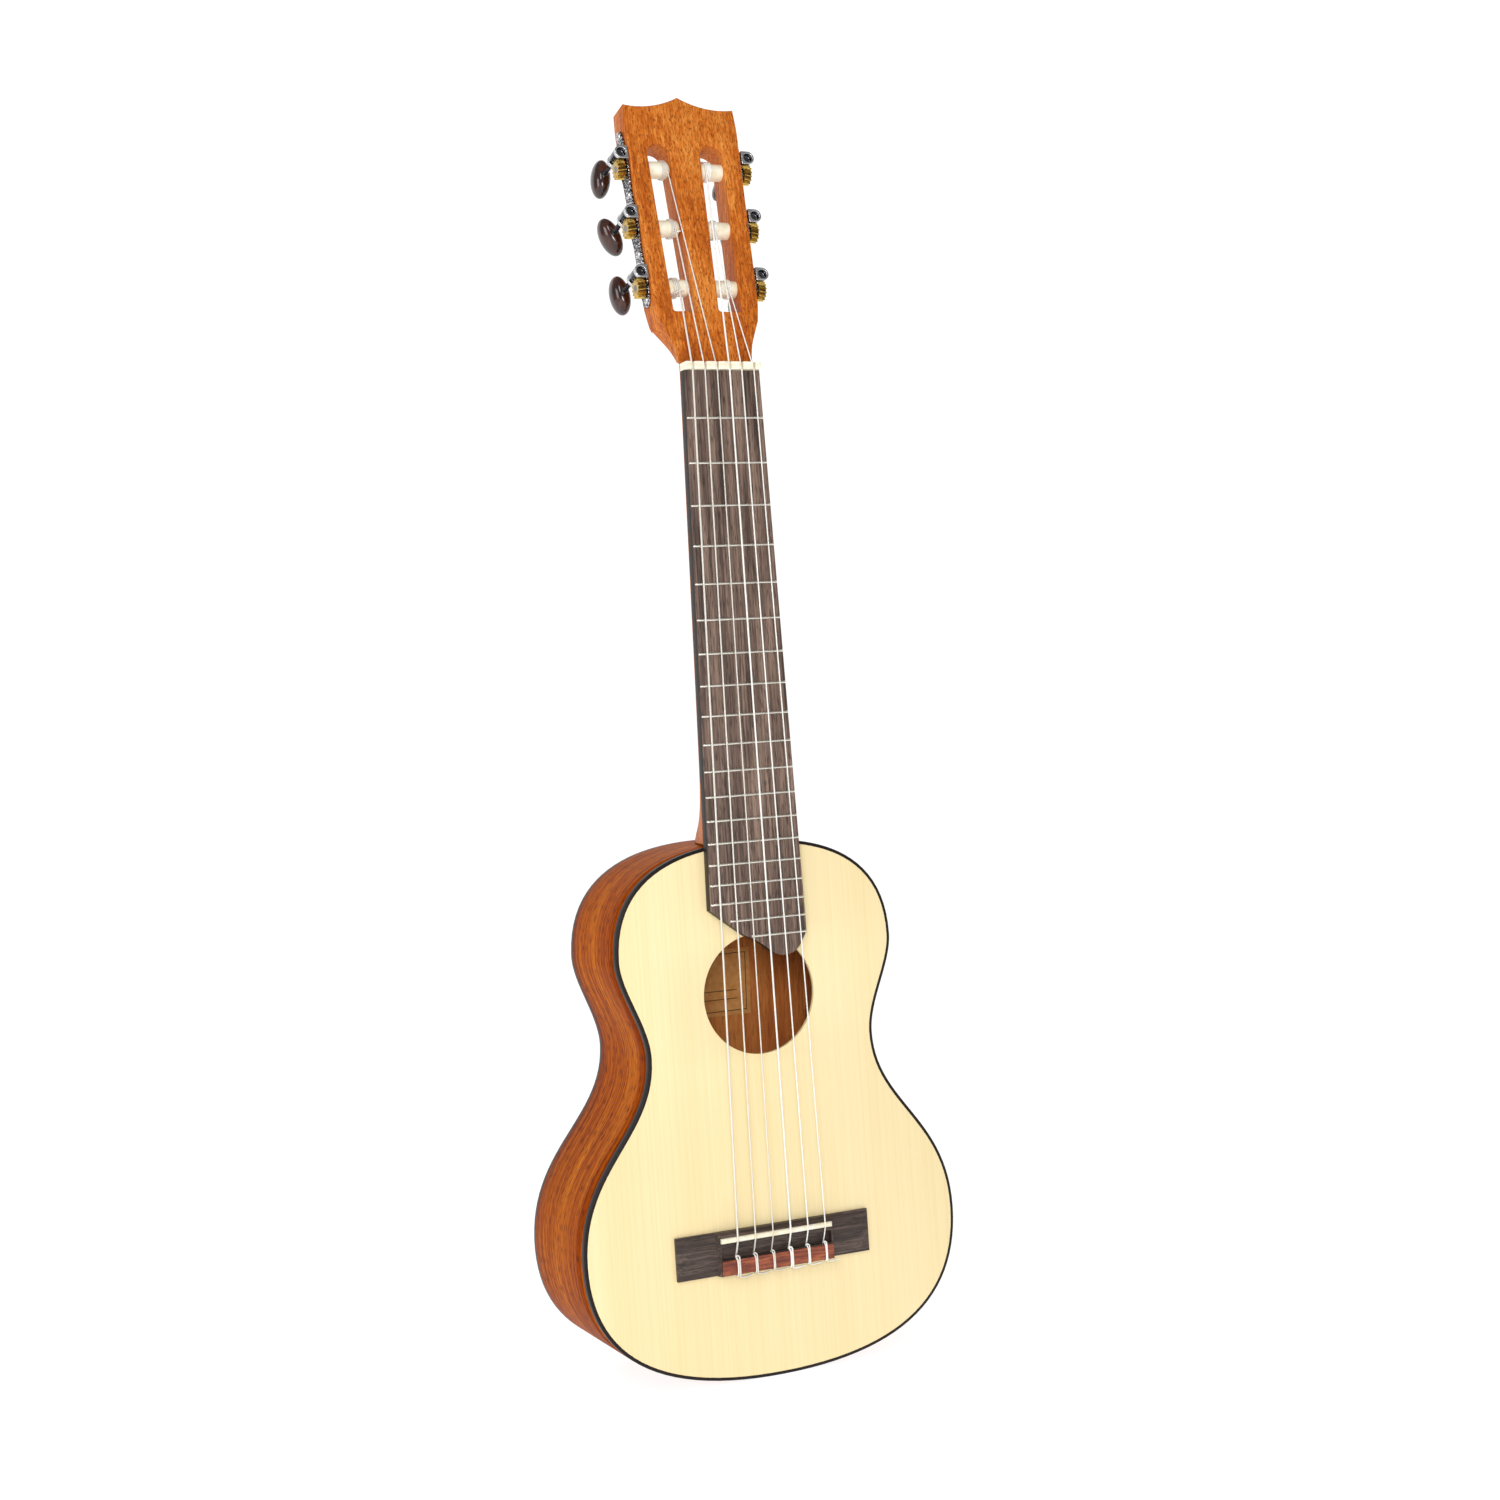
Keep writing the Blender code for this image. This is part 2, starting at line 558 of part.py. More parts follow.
def span_at(z, inset, width):
    """The free half width inside an inset, over the width of a bar at a height."""
    points = body_outline(inset)[:len(half_outline())]
    spans = []
    for height in (z - width / 2, z + width / 2):
        for (x0, z0), (x1, z1) in zip(points, points[1:]):
            if min(z0, z1) <= height <= max(z0, z1) and z0 != z1:
                spans.append(x0 + (x1 - x0) * (height - z0) / (z1 - z0))
    return min(spans)


# The neck and what is on it

def neck_ring(half, front, rear, point, square, place):
    """One section of the neck: flat in front, round behind.

    Point narrows it towards the heel's edge, and square fills out its corners towards the head's section.
    """
    steps = 9
    ring = []
    for k in range(steps + 1):
        wide, deep = cos(pi * k / steps), sin(pi * k / steps)
        depth = deep ** ((1 - HEEL_FULLNESS * point) * (1 - SQUARENESS * square))
        across = abs(wide) ** (1 - SQUARENESS * square) * (1 if wide > 0 else -1)
        narrow = 1 - HEEL_NARROWING * point * depth
        ring.append(place(half * across * narrow, front + (rear - front) * depth))
    return ring


def shoulder_points(steps):
    """The head's right edge, from beside the nut out to where its straight side starts."""
    half = NUT_WIDTH / 2 - GAP
    start = NUT_THICKNESS + GAP
    across, along = SHOULDER_SWEEP
    points = bezier((half, start), (half, start + SHOULDER_LENGTH * SHOULDER_START),
                    (SHOULDER_HALF * across, SHOULDER_LENGTH * along), (SHOULDER_HALF, SHOULDER_LENGTH), steps)
    foot = head_half(SIDE_FOOT)
    points += bezier((SHOULDER_HALF, SHOULDER_LENGTH), (foot * SHOULDER_FLARE, SHOULDER_LENGTH + SHOULDER_CORNER),
                     (foot, SIDE_FOOT - SHOULDER_CORNER), (foot, SIDE_FOOT), 3)
    return points + [(foot, SIDE_FOOT)]


def make_neck(base, face, sides):
    """Neck shaft, heel and head in one piece, with the slots and the rollers' holes cut."""
    joint = BODY_LENGTH + GAP
    rings = []
    for up, share in HEEL_CURVE:
        z = joint + up * HEEL_LENGTH
        depth = SHAFT_AT_HEEL + (HEEL_DEPTH - SHAFT_AT_HEEL) * share
        rings.append(neck_ring(board_half(z), 0.0, depth, share, 0.0, lambda x, y: (x, y, z)))
    lap = NUT_Z + NUT_THICKNESS + GAP
    for z in (joint + HEEL_LENGTH * 1.5, fret_z(7), fret_z(3), NUT_Z, lap):
        depth = NECK_DEPTH + (SHAFT_AT_HEEL - NECK_DEPTH) * (NUT_Z - z) / (NUT_Z - joint)
        rings.append(neck_ring(board_half(min(z, NUT_Z)), 0.0, depth, 0.0, 0.0, lambda x, y: (x, y, z)))
    edge = shoulder_points(6)[1:7]
    for step, (half, length) in enumerate(edge, 1):
        share = step / len(edge)
        pitch = HEAD_PITCH * share
        rear = NECK_DEPTH + (HEAD_THICKNESS - GAP - NECK_DEPTH) * share
        y, z = FACE_DROP + length * sin(HEAD_PITCH), NUT_Z + length * cos(HEAD_PITCH)
        rings.append(neck_ring(half - GAP * share, 0.0, rear, 0.0, share,
                               lambda x, d: (x, y + d * cos(pitch), z - d * sin(pitch))))
    neck = add("neck", loft("neck", rings), base, look=NECK_WOOD)

    edge = shoulder_points(6)
    half = head_half(SIDE_TOP)
    peak = HEAD_LENGTH + CROWN_RISE
    side = [point for point in edge if point[1] > SHOULDER_LENGTH - BLANK_LAP]
    side += bezier((half, SIDE_TOP), (half * TOP_BELLY, SIDE_TOP + TOP_TURN),
                   (CORNER_HALF * TOP_BELLY, HEAD_LENGTH - TOP_TURN), (CORNER_HALF, HEAD_LENGTH), 3)
    crown = [(x, HEAD_LENGTH + rise) for x, rise in CROWN_CURVE]
    side += bezier((CORNER_HALF, HEAD_LENGTH), *crown, (0, peak), 7)
    outline = side + [(0, peak)] + [(-x, z) for x, z in reversed(side)]
    blank = cutter("head_blank", prism("head_blank", outline, 0.0, HEAD_THICKNESS), face)
    boolean(neck, blank, "UNION")

    radius = (SLOT_OUTER - SLOT_INNER) / 2
    for word, sign in (("bass", -1), ("treble", 1)):
        centre = sign * (SLOT_OUTER + SLOT_INNER) / 2
        arch = [(centre + radius * cos(pi * k / 8), SLOT_END - radius + radius * sin(pi * k / 8)) for k in range(9)]
        slot = arch + [(centre - radius, SLOT_START), (centre + radius, SLOT_START)]
        name = "slot_cutter_" + word
        boolean(neck, cutter(name, prism(name, slot, -CUT_PAST, HEAD_THICKNESS + CUT_PAST), sides[sign]))
        bore, pin = ROLLER_RADIUS + GAP, ROLLER_PIN_RADIUS + GAP
        deep = SLOT_INNER - ROLLER_PIN_LENGTH - GAP
        wall = SLOT_INNER + CUT_PAST
        profile = [(sign * deep, pin), (sign * wall, pin), (sign * wall, bore), (sign * (HEAD_HALF + CUT_PAST), bore)]
        holes = bmesh.new()
        for place in range(3):
            add_turned(holes, profile, "x", 14, (ROLLER_DEPTH, FIRST_ROLLER + place * ROLLER_PITCH))
        name = "roller_holes_" + word
        boolean(neck, cutter(name, finish_mesh(name, holes), sides[sign]))


def make_fingerboard(base):
    """The board, whose end runs out over the sound hole on the treble side, with its frets."""
    end = fret_z(FRET_COUNT)
    left = (-board_half(end + SLANT_RISE), end + SLANT_RISE)
    right = (board_half(end), end)
    outline = [(board_half(NUT_Z), NUT_Z - GAP), right]
    tongue = [(x, end - down) for x, down in BOARD_TONGUE]
    outline += bezier(*tongue, 7) + [tongue[-1]] + [(x, end - down) for x, down in BOARD_SLOPE]
    outline += [left, (-board_half(NUT_Z), NUT_Z - GAP)]
    board = add("fingerboard", prism("fingerboard", outline, BOARD_TOP, -GAP), base, look=ROSEWOOD)
    bm = bmesh.new()
    for number in range(1, FRET_COUNT + 1):
        z = fret_z(number)
        low = -board_half(z)
        if z < left[1]:
            low += FRET_INSET + (left[1] - z) * SLANT_RUN
        half = FRET_WIDTH / 2
        flat, foot, edge = half * FRET_CROWN, BOARD_TOP + FRET_SEAT, BOARD_TOP - FRET_SEAT
        crown = [(-half, foot), (-half, edge), (-flat, FRET_TOP), (flat, FRET_TOP), (half, edge), (half, foot)]
        add_loft(bm, [[(x, y, z + dz) for dz, y in crown] for x in (low + GAP, board_half(z) - GAP)])
    frets = cutter("frets", finish_mesh("frets", bm), base)
    boolean(board, frets, "UNION")

    crest = nut_string_y(6) - NUT_STAND
    low = (-NUT_WIDTH / 2, crest, NUT_Z)
    high = (NUT_WIDTH / 2, -GAP, NUT_Z + NUT_THICKNESS)
    nut = add("nut", box("nut", low, high), base, look=BONE)
    bm = bmesh.new()
    for number, gauge in GAUGES.items():
        x = string_x(number, NUT_SPREAD)
        half = gauge / 2 + GAP
        rings = []
        for past, fall in ((-CUT_PAST, 0.0), (GAP, 0.0), (NUT_THICKNESS + CUT_PAST, NUT_SLOT_FALL)):
            floor = nut_string_y(number) + half + fall
            rings.append([(x - half, crest - CUT_PAST, NUT_Z + past), (x + half, crest - CUT_PAST, NUT_Z + past),
                          (x + half, floor, NUT_Z + past), (x - half, floor, NUT_Z + past)])
        add_loft(bm, rings)
    boolean(nut, cutter("nut_slots", finish_mesh("nut_slots", bm), base))


def nut_string_y(number):
    """Centre line of a string where it crosses the nut."""
    return FRET_TOP - ACTION_AT_NUT - GAUGES[number] / 2


def make_bridge(base):
    """Bridge with two low hipped wings and a raised centre, which has a saddle slot and a tie block."""
    middle_z = (BRIDGE_TAIL_Z + BRIDGE_TOP_Z) / 2
    shelf_z = SADDLE_Z + SADDLE_THICKNESS / 2 + LIP_WIDTH
    slant = WING_EDGE + (WING_RIDGE - WING_EDGE) * (BRIDGE_TOP_Z - shelf_z) / (BRIDGE_TOP_Z - middle_z)
    end = (WING_EDGE, WING_EDGE, WING_EDGE, WING_EDGE)
    wing = (WING_EDGE, WING_RIDGE, slant, WING_EDGE)
    centre = (BRIDGE_HEIGHT, BRIDGE_HEIGHT, BRIDGE_HEIGHT, BRIDGE_LIP)
    stations = [(BRIDGE_HALF, end), (BRIDGE_HALF - WING_HIP, wing), (BRIDGE_CENTRE_HALF + WING_STEP, wing),
                (BRIDGE_CENTRE_HALF, centre)]
    rings = []
    for x, heights in [(-x, h) for x, h in stations] + stations[::-1]:
        x += BRIDGE_SHIFT
        tops = zip((BRIDGE_TAIL_Z, middle_z, shelf_z, BRIDGE_TOP_Z), heights)
        rings.append([(x, -GAP, BRIDGE_TAIL_Z)] + [(x, -h, z) for z, h in tops] + [(x, -GAP, BRIDGE_TOP_Z)])
    bridge = add("bridge", loft("bridge", rings), base, look=ROSEWOOD)

    slot = SADDLE_THICKNESS / 2 + GAP
    above = -SADDLE_HEIGHT - CUT_PAST
    half = BRIDGE_CENTRE_HALF - CHANNEL_END
    channel = box("bridge_channel", (BRIDGE_SHIFT - half, above, TIE_TOP_Z),
                  (BRIDGE_SHIFT + half, -CHANNEL_FLOOR, SADDLE_Z - slot - SADDLE_SHOULDER))
    boolean(bridge, cutter("bridge_channel", channel, base))
    half = SADDLE_HALF + GAP
    groove = box("saddle_slot", (BRIDGE_SHIFT - half, above, SADDLE_Z - slot),
                 (BRIDGE_SHIFT + half, -SADDLE_SEAT, SADDLE_Z + slot))
    boolean(bridge, cutter("saddle_slot", groove, base))
    for number, gauge in GAUGES.items():
        name = f"tie_hole_{number}"
        radius = gauge / 2 + GAP
        hole = turned(name, [(BRIDGE_TAIL_Z - CUT_PAST, radius), (TIE_TOP_Z + CUT_PAST, radius)], "z", 8)
        where = (string_x(number, SADDLE_SPREAD), TIE_HOLE_Y, 0)
        boolean(bridge, cutter(name, hole, base, where))

    half = BRIDGE_CENTRE_HALF - STRIP_INSET
    strip = box("tie_block_strip", (BRIDGE_SHIFT - half, -BRIDGE_HEIGHT - GAP - TIE_STRIP, BRIDGE_TAIL_Z + STRIP_INSET),
                (BRIDGE_SHIFT + half, -BRIDGE_HEIGHT - GAP, TIE_TOP_Z - STRIP_INSET))
    add("tie_block_strip", strip, base, look=MAHOGANY)

    half = SADDLE_THICKNESS / 2
    profile = [(-half, -SADDLE_SEAT - GAP), (half, -SADDLE_SEAT - GAP)]
    profile += [(half * cos(pi * k / 6), -SADDLE_HEIGHT + half * (1 - sin(pi * k / 6))) for k in range(7)]
    rings = [[(BRIDGE_SHIFT + x, y, SADDLE_Z + dz) for dz, y in profile] for x in (-SADDLE_HALF, SADDLE_HALF)]
    add("saddle", loft("saddle", rings), base, look=BONE)


# Tuning machines, each in the frame of its side of the head

def machines():
    """(string, side, length along the head) for each machine; strings 1 and 6 are nearest the nut."""
    found = []
    for number in range(1, 7):
        side = 1 if number < 4 else -1
        place = number - 1 if number < 4 else 6 - number
        found.append((number, side, FIRST_ROLLER + place * ROLLER_PITCH))
    return found


def gear_mesh(side):
    """A brass wheel whose teeth slant by the worm's lead; a gap faces the worm."""
    rings = []
    bore = AXLE_RADIUS + GAP
    step = 2 * pi / GEAR_TEETH
    root, tip = GEAR_RADIUS - TOOTH_FALL, GEAR_RADIUS + TOOTH_RISE
    thick = THREAD_PITCH / 2 - BACKLASH
    tip_half = (thick / 2 - FLANK_SLOPE * TOOTH_RISE) / tip
    root_half = (thick / 2 + FLANK_SLOPE * TOOTH_FALL) / root
    corners = ((-root_half, root), (-tip_half, tip), (tip_half, tip), (root_half, root))
    for x in (-GEAR_WIDTH / 2, GEAR_WIDTH / 2):
        twist = LEAD_SLOPE * x / GEAR_RADIUS
        outer, inner = [], []
        for tooth in range(GEAR_TEETH):
            for offset, radius in corners:
                turn = (tooth + 0.5) * step + offset + twist
                outer.append((side * x, -radius * sin(turn), radius * cos(turn)))
                inner.append((side * x, -bore * sin(turn), bore * cos(turn)))
        rings.append((outer, inner))
    (low_out, low_in), (high_out, high_in) = rings
    return loft("gear", [low_out, high_out, high_in, low_in], closed=True)


def worm_mesh(side):
    """Core, collars, stem and one turn after another of thread, along the depth of the head."""
    ear = WORM_HALF + GAP + EAR_WIDTH
    core = WORM_RADIUS - TOOTH_RISE - TOOTH_FALL
    flange = core + WORM_FLANGE
    inner_end = WORM_HALF - WORM_FLANGE
    profile = [(-ear + JOURNAL_SINK, JOURNAL_RADIUS), (-WORM_HALF, JOURNAL_RADIUS), (-WORM_HALF, flange),
               (-inner_end, core), (inner_end, core), (WORM_HALF, flange), (WORM_HALF, JOURNAL_RADIUS),
               (ear + GAP, JOURNAL_RADIUS), (ear + GAP, COLLAR_RADIUS), (ear + COLLAR_LENGTH, COLLAR_RADIUS),
               (ear + COLLAR_LENGTH + COLLAR_TAPER, STEM_RADIUS),
               (BUTTON_DEPTH - ROLLER_DEPTH + STEM_PAST_MIDDLE, STEM_RADIUS)]
    return turned("worm_core", profile, "y", 10), thread_mesh(side, core)


def thread_mesh(side, core):
    """The thread alone, sunk a little into the core so that a union joins them."""
    sunk = 0.0002
    steps = 10
    thick = THREAD_PITCH / 2 - BACKLASH
    tip_half = thick / 2 - FLANK_SLOPE * TOOTH_RISE
    base_half = thick / 2 + FLANK_SLOPE * (TOOTH_FALL + sunk)
    rings = []
    count = ceil(WORM_TURNS * steps)
    for k in range(count + 1):
        angle = pi + 2 * pi * WORM_TURNS * (k / count - 0.5)
        middle = THREAD_PITCH * (angle - pi) / (2 * pi)
        ring = []
        for offset, radius in ((-base_half, core - sunk), (-tip_half, WORM_RADIUS),
                               (tip_half, WORM_RADIUS), (base_half, core - sunk)):
            ring.append((side * radius * sin(angle), middle + offset, radius * cos(angle)))
        rings.append(ring)
    return loft("worm_thread", rings)


def button_mesh(name):
    """A flat oval key, longest across the stem."""
    rings = []
    for k in range(1, 8):
        along = cos(pi * k / 8)
        size = sin(pi * k / 8) ** BUTTON_FULLNESS
        ring = []
        for j in range(12):
            turn = 2 * pi * j / 12
            ring.append((BUTTON_THICK / 2 * size * cos(turn), -BUTTON_WIDE / 2 * along,
                         BUTTON_LONG / 2 * size * sin(turn)))
        rings.append(ring)
    return loft(name, rings)


def make_plates(sides):
    """Each side plate carries three pairs of ears, with a curved cover between them, for the worm shafts."""
    for word, side in (("bass", -1), ("treble", 1)):
        name = "tuner_plate_" + word
        low, high = FIRST_ROLLER - PLATE_BELOW, FIRST_ROLLER + 2 * ROLLER_PITCH + PLATE_ABOVE
        edge = []
        steps = 30
        for k in range(steps + 1):
            length = low + (high - low) * k / steps
            wave = cos(2 * pi * (length - FIRST_ROLLER - MACHINE_CENTRES / 2) / ROLLER_PITCH)
            scallop = 1 - PLATE_SCALLOP * (1 - wave)
            round_end = sqrt(max(0.0, 1 - (2 * k / steps - 1) ** PLATE_END_POWER))
            edge.append((PLATE_HALF_WIDTH * scallop * (PLATE_END + (1 - PLATE_END) * round_end), length))
        middle = HEAD_THICKNESS / 2
        outline = [(middle + d, z) for d, z in edge] + [(middle - d, z) for d, z in reversed(edge)]
        inner, outer = side * HEAD_SIDE_PLATE, side * (HEAD_SIDE_PLATE + PLATE_THICKNESS)
        plate = add(name, prism(name, outline, inner, outer, "x"), sides[side], look=STEEL)

        ears, covers, bores, axles = bmesh.new(), bmesh.new(), bmesh.new(), bmesh.new()
        for place in range(3):
            roller = FIRST_ROLLER + place * ROLLER_PITCH
            axis = roller + MACHINE_CENTRES
            for start in (ROLLER_DEPTH - WORM_HALF - GAP - EAR_WIDTH, ROLLER_DEPTH + WORM_HALF + GAP):
                rings = []
                for depth in (start, start + EAR_WIDTH):
                    foot = side * (HEAD_SIDE_PLATE + PLATE_THICKNESS / 2)
                    ring = [(foot, depth, axis - EAR_RADIUS), (foot, depth, axis + EAR_RADIUS)]
                    ring += [(side * (WORM_X + EAR_RADIUS * sin(pi * k / 8)), depth,
                              axis + EAR_RADIUS * cos(pi * k / 8)) for k in range(9)]
                    rings.append(ring)
                add_loft(ears, rings)
            add_loft(covers, cover_rings(side, axis))
            bore = JOURNAL_RADIUS + GAP
            add_turned(bores, [(-HEAD_THICKNESS, bore), (2 * HEAD_THICKNESS, bore)], "y", 14, (side * WORM_X, axis))
            add_turned(axles, [(side * HEAD_HALF, AXLE_RADIUS + GAP),
                               (side * (HEAD_SIDE_PLATE + PLATE_THICKNESS + CUT_PAST), AXLE_RADIUS + GAP)],
                       "x", 14, (ROLLER_DEPTH, roller))
        for word, mesh, operation in (("_ears", ears, "UNION"), ("_covers", covers, "UNION"),
                                      ("_bores", bores, "DIFFERENCE"), ("_axles", axles, "DIFFERENCE")):
            boolean(plate, cutter(name + word, finish_mesh(name + word, mesh), sides[side]), operation)


def cover_rings(side, axis):
    """A thin curved cover that runs from ear to ear, clear of the worm and of the gear below it."""
    outer = EAR_RADIUS - COVER_INSET
    inner = outer - COVER_WALL
    steps = 7
    turns = [-COVER_OPEN + (pi + COVER_OPEN) * k / steps for k in range(steps + 1)]
    arc = [(r * cos(turn), r * sin(turn)) for r, ordered in ((outer, turns), (inner, turns[::-1])) for turn in ordered]
    reach = WORM_HALF + GAP + EAR_WIDTH / 2
    return [[(side * (WORM_X + x), ROLLER_DEPTH + end * reach, axis + up) for x, up in arc] for end in (-1, 1)]


def make_machines(sides):
    """One worm shaft, button, gear and roller for each string."""
    for number, side, length in machines():
        face = sides[side]
        axle = (side * WORM_X, ROLLER_DEPTH, length)
        worm = (side * WORM_X, ROLLER_DEPTH, length + MACHINE_CENTRES)
        core, thread = worm_mesh(side)
        shaft = add(f"worm_shaft_{number}", core, face, worm, STEEL)
        boolean(shaft, cutter(f"worm_thread_{number}", thread, face, worm), "UNION")

        name = f"button_{number}"
        where = (side * WORM_X, BUTTON_DEPTH, length + MACHINE_CENTRES)
        button = add(name, button_mesh(name), face, where, BUTTON, (0, radians(BUTTON_TURNS[number]), 0))
        bore = turned(name + "_bore", [(-BUTTON_WIDE, STEM_RADIUS + GAP),
                                       (STEM_PAST_MIDDLE + GAP, STEM_RADIUS + GAP)], "y", 10)
        boolean(button, cutter(name + "_bore", bore, face, where))

        add(f"gear_{number}", gear_mesh(side), face, axle, BRASS)

        collar = HEAD_SIDE_PLATE + PLATE_THICKNESS + GAP
        gear_inner = WORM_X - GEAR_WIDTH / 2 - GAP
        spacer = AXLE_RADIUS + SPACER_WALL
        steps = [(SLOT_INNER - ROLLER_PIN_LENGTH, ROLLER_PIN_RADIUS), (SLOT_INNER + GAP, ROLLER_PIN_RADIUS)]
        steps += [(SLOT_INNER + out, ROLLER_RADIUS - trim) for out, trim in ROLLER_END]
        steps += [(HEAD_HALF - GAP, ROLLER_RADIUS), (HEAD_HALF - GAP, AXLE_RADIUS), (collar, AXLE_RADIUS),
                  (collar, spacer), (gear_inner, spacer), (gear_inner, AXLE_RADIUS),
                  (WORM_X + GEAR_WIDTH / 2 - GAP, AXLE_RADIUS)]
        profile = [(side * (x - WORM_X), radius) for x, radius in steps]
        add(f"roller_{number}", turned(f"roller_{number}", profile, "x", 12), face, axle, BONE)


def make_strings(base):
    """Each string runs from its tie hole over the saddle and the nut, and winds round its roller."""
    for number, side, length in machines():
        gauge = GAUGES[number]
        bridge_x, nut_x = string_x(number, SADDLE_SPREAD), string_x(number, NUT_SPREAD)
        points = [(bridge_x, TIE_HOLE_Y, BRIDGE_TAIL_Z - STRING_TAIL), (bridge_x, TIE_HOLE_Y, TIE_TOP_Z + STRING_RISE),
                  (bridge_x, -SADDLE_HEIGHT - GAP - gauge / 2, SADDLE_Z),
                  (nut_x, nut_string_y(number), NUT_Z + GAP)]
        points += winding_points(number, side, length, points[-1])
        curve = bpy.data.curves.new(f"string_{number}", "CURVE")
        curve.dimensions = "3D"
        curve.bevel_depth = gauge / 2
        curve.bevel_resolution = 1
        curve.use_fill_caps = True
        spline = curve.splines.new("POLY")
        spline.points.add(len(points) - 1)
        for point, place in zip(spline.points, points):
            point.co = (*place, 1.0)
        add(f"string_{number}", curve, base, look=CLEAR_NYLON if number < 4 else WOUND)


def winding_points(number, side, length, nut_point):
    """The string leaves the nut at a tangent to its roller's front and winds towards the head's side."""
    gauge = GAUGES[number]
    entry = WINDING_STARTS[number]
    steps = 10
    radius = (ROLLER_RADIUS + GAP + gauge / 2) / cos(pi / steps)
    centre = from_side(side, entry, ROLLER_DEPTH, length)
    across, along = centre[1] - nut_point[1], centre[2] - nut_point[2]
    start = atan2(across, along) - asin(radius / sqrt(across ** 2 + along ** 2)) - HEAD_PITCH
    points = []
    for k in range(int(WINDING_TURNS * steps) + 1):
        turn = start + 2 * pi * k / steps
        x = entry + (gauge + WINDING_SLACK) * k / steps
        points.append(from_side(side, x, ROLLER_DEPTH - radius * cos(turn), length + radius * sin(turn)))
    return points


def from_side(side, out, depth, length):
    """A point from a side's frame (out from the centre, into the head, along it) in the base's frame."""
    x = side * (out * cos(HEAD_TAPER) + (length - SIDE_MIDDLE) * sin(HEAD_TAPER))
    up = SIDE_MIDDLE + (length - SIDE_MIDDLE) * cos(HEAD_TAPER) - out * sin(HEAD_TAPER)
    y = FACE_DROP + depth * cos(HEAD_PITCH) + up * sin(HEAD_PITCH)
    return x, y, NUT_Z - depth * sin(HEAD_PITCH) + up * cos(HEAD_PITCH)


clear_scene()
base_empty = empty("base", location=(0, BASE_Y, 0))
face_empty = empty("head_face", base_empty, (0, FACE_DROP, NUT_Z), (-HEAD_PITCH, 0, 0))
side_empties = {}
for side_word, side_sign in (("bass", -1), ("treble", 1)):
    spot = (-side_sign * SIDE_MIDDLE * sin(HEAD_TAPER), 0, SIDE_MIDDLE * (1 - cos(HEAD_TAPER)))
    side_empties[side_sign] = empty("side_" + side_word, face_empty, spot, (0, side_sign * HEAD_TAPER, 0))
make_body(base_empty)
make_inside(base_empty)
make_neck(base_empty, face_empty, side_empties)
make_fingerboard(base_empty)
make_bridge(base_empty)
make_plates(side_empties)
make_machines(side_empties)
make_strings(base_empty)
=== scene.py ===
"""Six-string guitalele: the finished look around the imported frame, in metres, +Z up along the neck."""
from math import asin, atan2, cos, hypot, pi, radians, sin, sqrt, tan

import bmesh
import bpy
from mathutils import Matrix, Vector


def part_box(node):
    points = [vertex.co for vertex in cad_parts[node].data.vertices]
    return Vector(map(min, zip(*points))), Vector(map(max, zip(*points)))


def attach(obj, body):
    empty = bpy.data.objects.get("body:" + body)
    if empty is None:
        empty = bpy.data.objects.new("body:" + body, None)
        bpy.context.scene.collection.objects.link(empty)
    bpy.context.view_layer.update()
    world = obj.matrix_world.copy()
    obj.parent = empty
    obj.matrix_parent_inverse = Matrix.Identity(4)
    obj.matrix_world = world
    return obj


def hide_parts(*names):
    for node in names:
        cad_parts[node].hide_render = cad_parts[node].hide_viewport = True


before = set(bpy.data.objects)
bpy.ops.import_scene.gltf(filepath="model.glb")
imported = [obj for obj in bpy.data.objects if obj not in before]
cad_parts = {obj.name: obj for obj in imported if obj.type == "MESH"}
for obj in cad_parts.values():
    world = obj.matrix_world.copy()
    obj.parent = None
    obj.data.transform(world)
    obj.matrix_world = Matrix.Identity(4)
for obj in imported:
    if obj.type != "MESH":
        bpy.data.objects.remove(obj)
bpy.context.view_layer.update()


# Soundboard: two thin sheets of quarter-sawn spruce, glued edge to edge along the centre and planed flat.
# The round hole is cut with a router. A satin lacquer leaves it pale, with only a faint straight grain.
outline_steps = 26
body_low, body_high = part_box("binding_top")
face_y = body_low.y             # the soundboard's outer face
body_top, lower_half = body_high.z, body_high.x
upper_half, upper_z = 0.0825, body_top - 0.0590
waist_half, waist_z = 0.0675, body_top - 0.1125
lower_z = body_top - 0.2178
rib_thickness, top_thickness = 0.0018, 0.0025
hole_radius, hole_z = 0.0330, 0.2096
hole_points = 96
edge_break = 0.0002             # the sharp edges are only just sanded off
same_place = 1e-6               # points closer than this are one point


def bezier(start, first, second, end, steps):
    """Points along one cubic curve, without its last one."""
    points = []
    for k in range(steps):
        t = k / steps
        shares = ((1 - t) ** 3, 3 * t * (1 - t) ** 2, 3 * t * t * (1 - t), t ** 3)
        corners = (start, first, second, end)
        points.append(tuple(sum(w * p[i] for w, p in zip(shares, corners)) for i in range(len(start))))
    return points


def half_outline(steps):
    """The right half of the body: over the upper bout, the waist and the lower bout to the tail."""
    fall, drop = upper_z - waist_z, waist_z - lower_z
    points = bezier((0, body_top), (upper_half * 0.30, body_top),
                    (upper_half, upper_z + 0.0560), (upper_half, upper_z), steps)
    points += bezier((upper_half, upper_z), (upper_half, upper_z - 0.31 * fall),
                     (waist_half, waist_z + 0.33 * fall), (waist_half, waist_z), steps)
    points += bezier((waist_half, waist_z), (waist_half, waist_z - 0.39 * drop),
                     (lower_half, lower_z + 0.50 * drop), (lower_half, lower_z), steps)
    points += bezier((lower_half, lower_z), (lower_half, lower_z * 0.34), (lower_half * 0.67, 0), (0, 0), steps)
    return points + [(0.0, 0.0)]


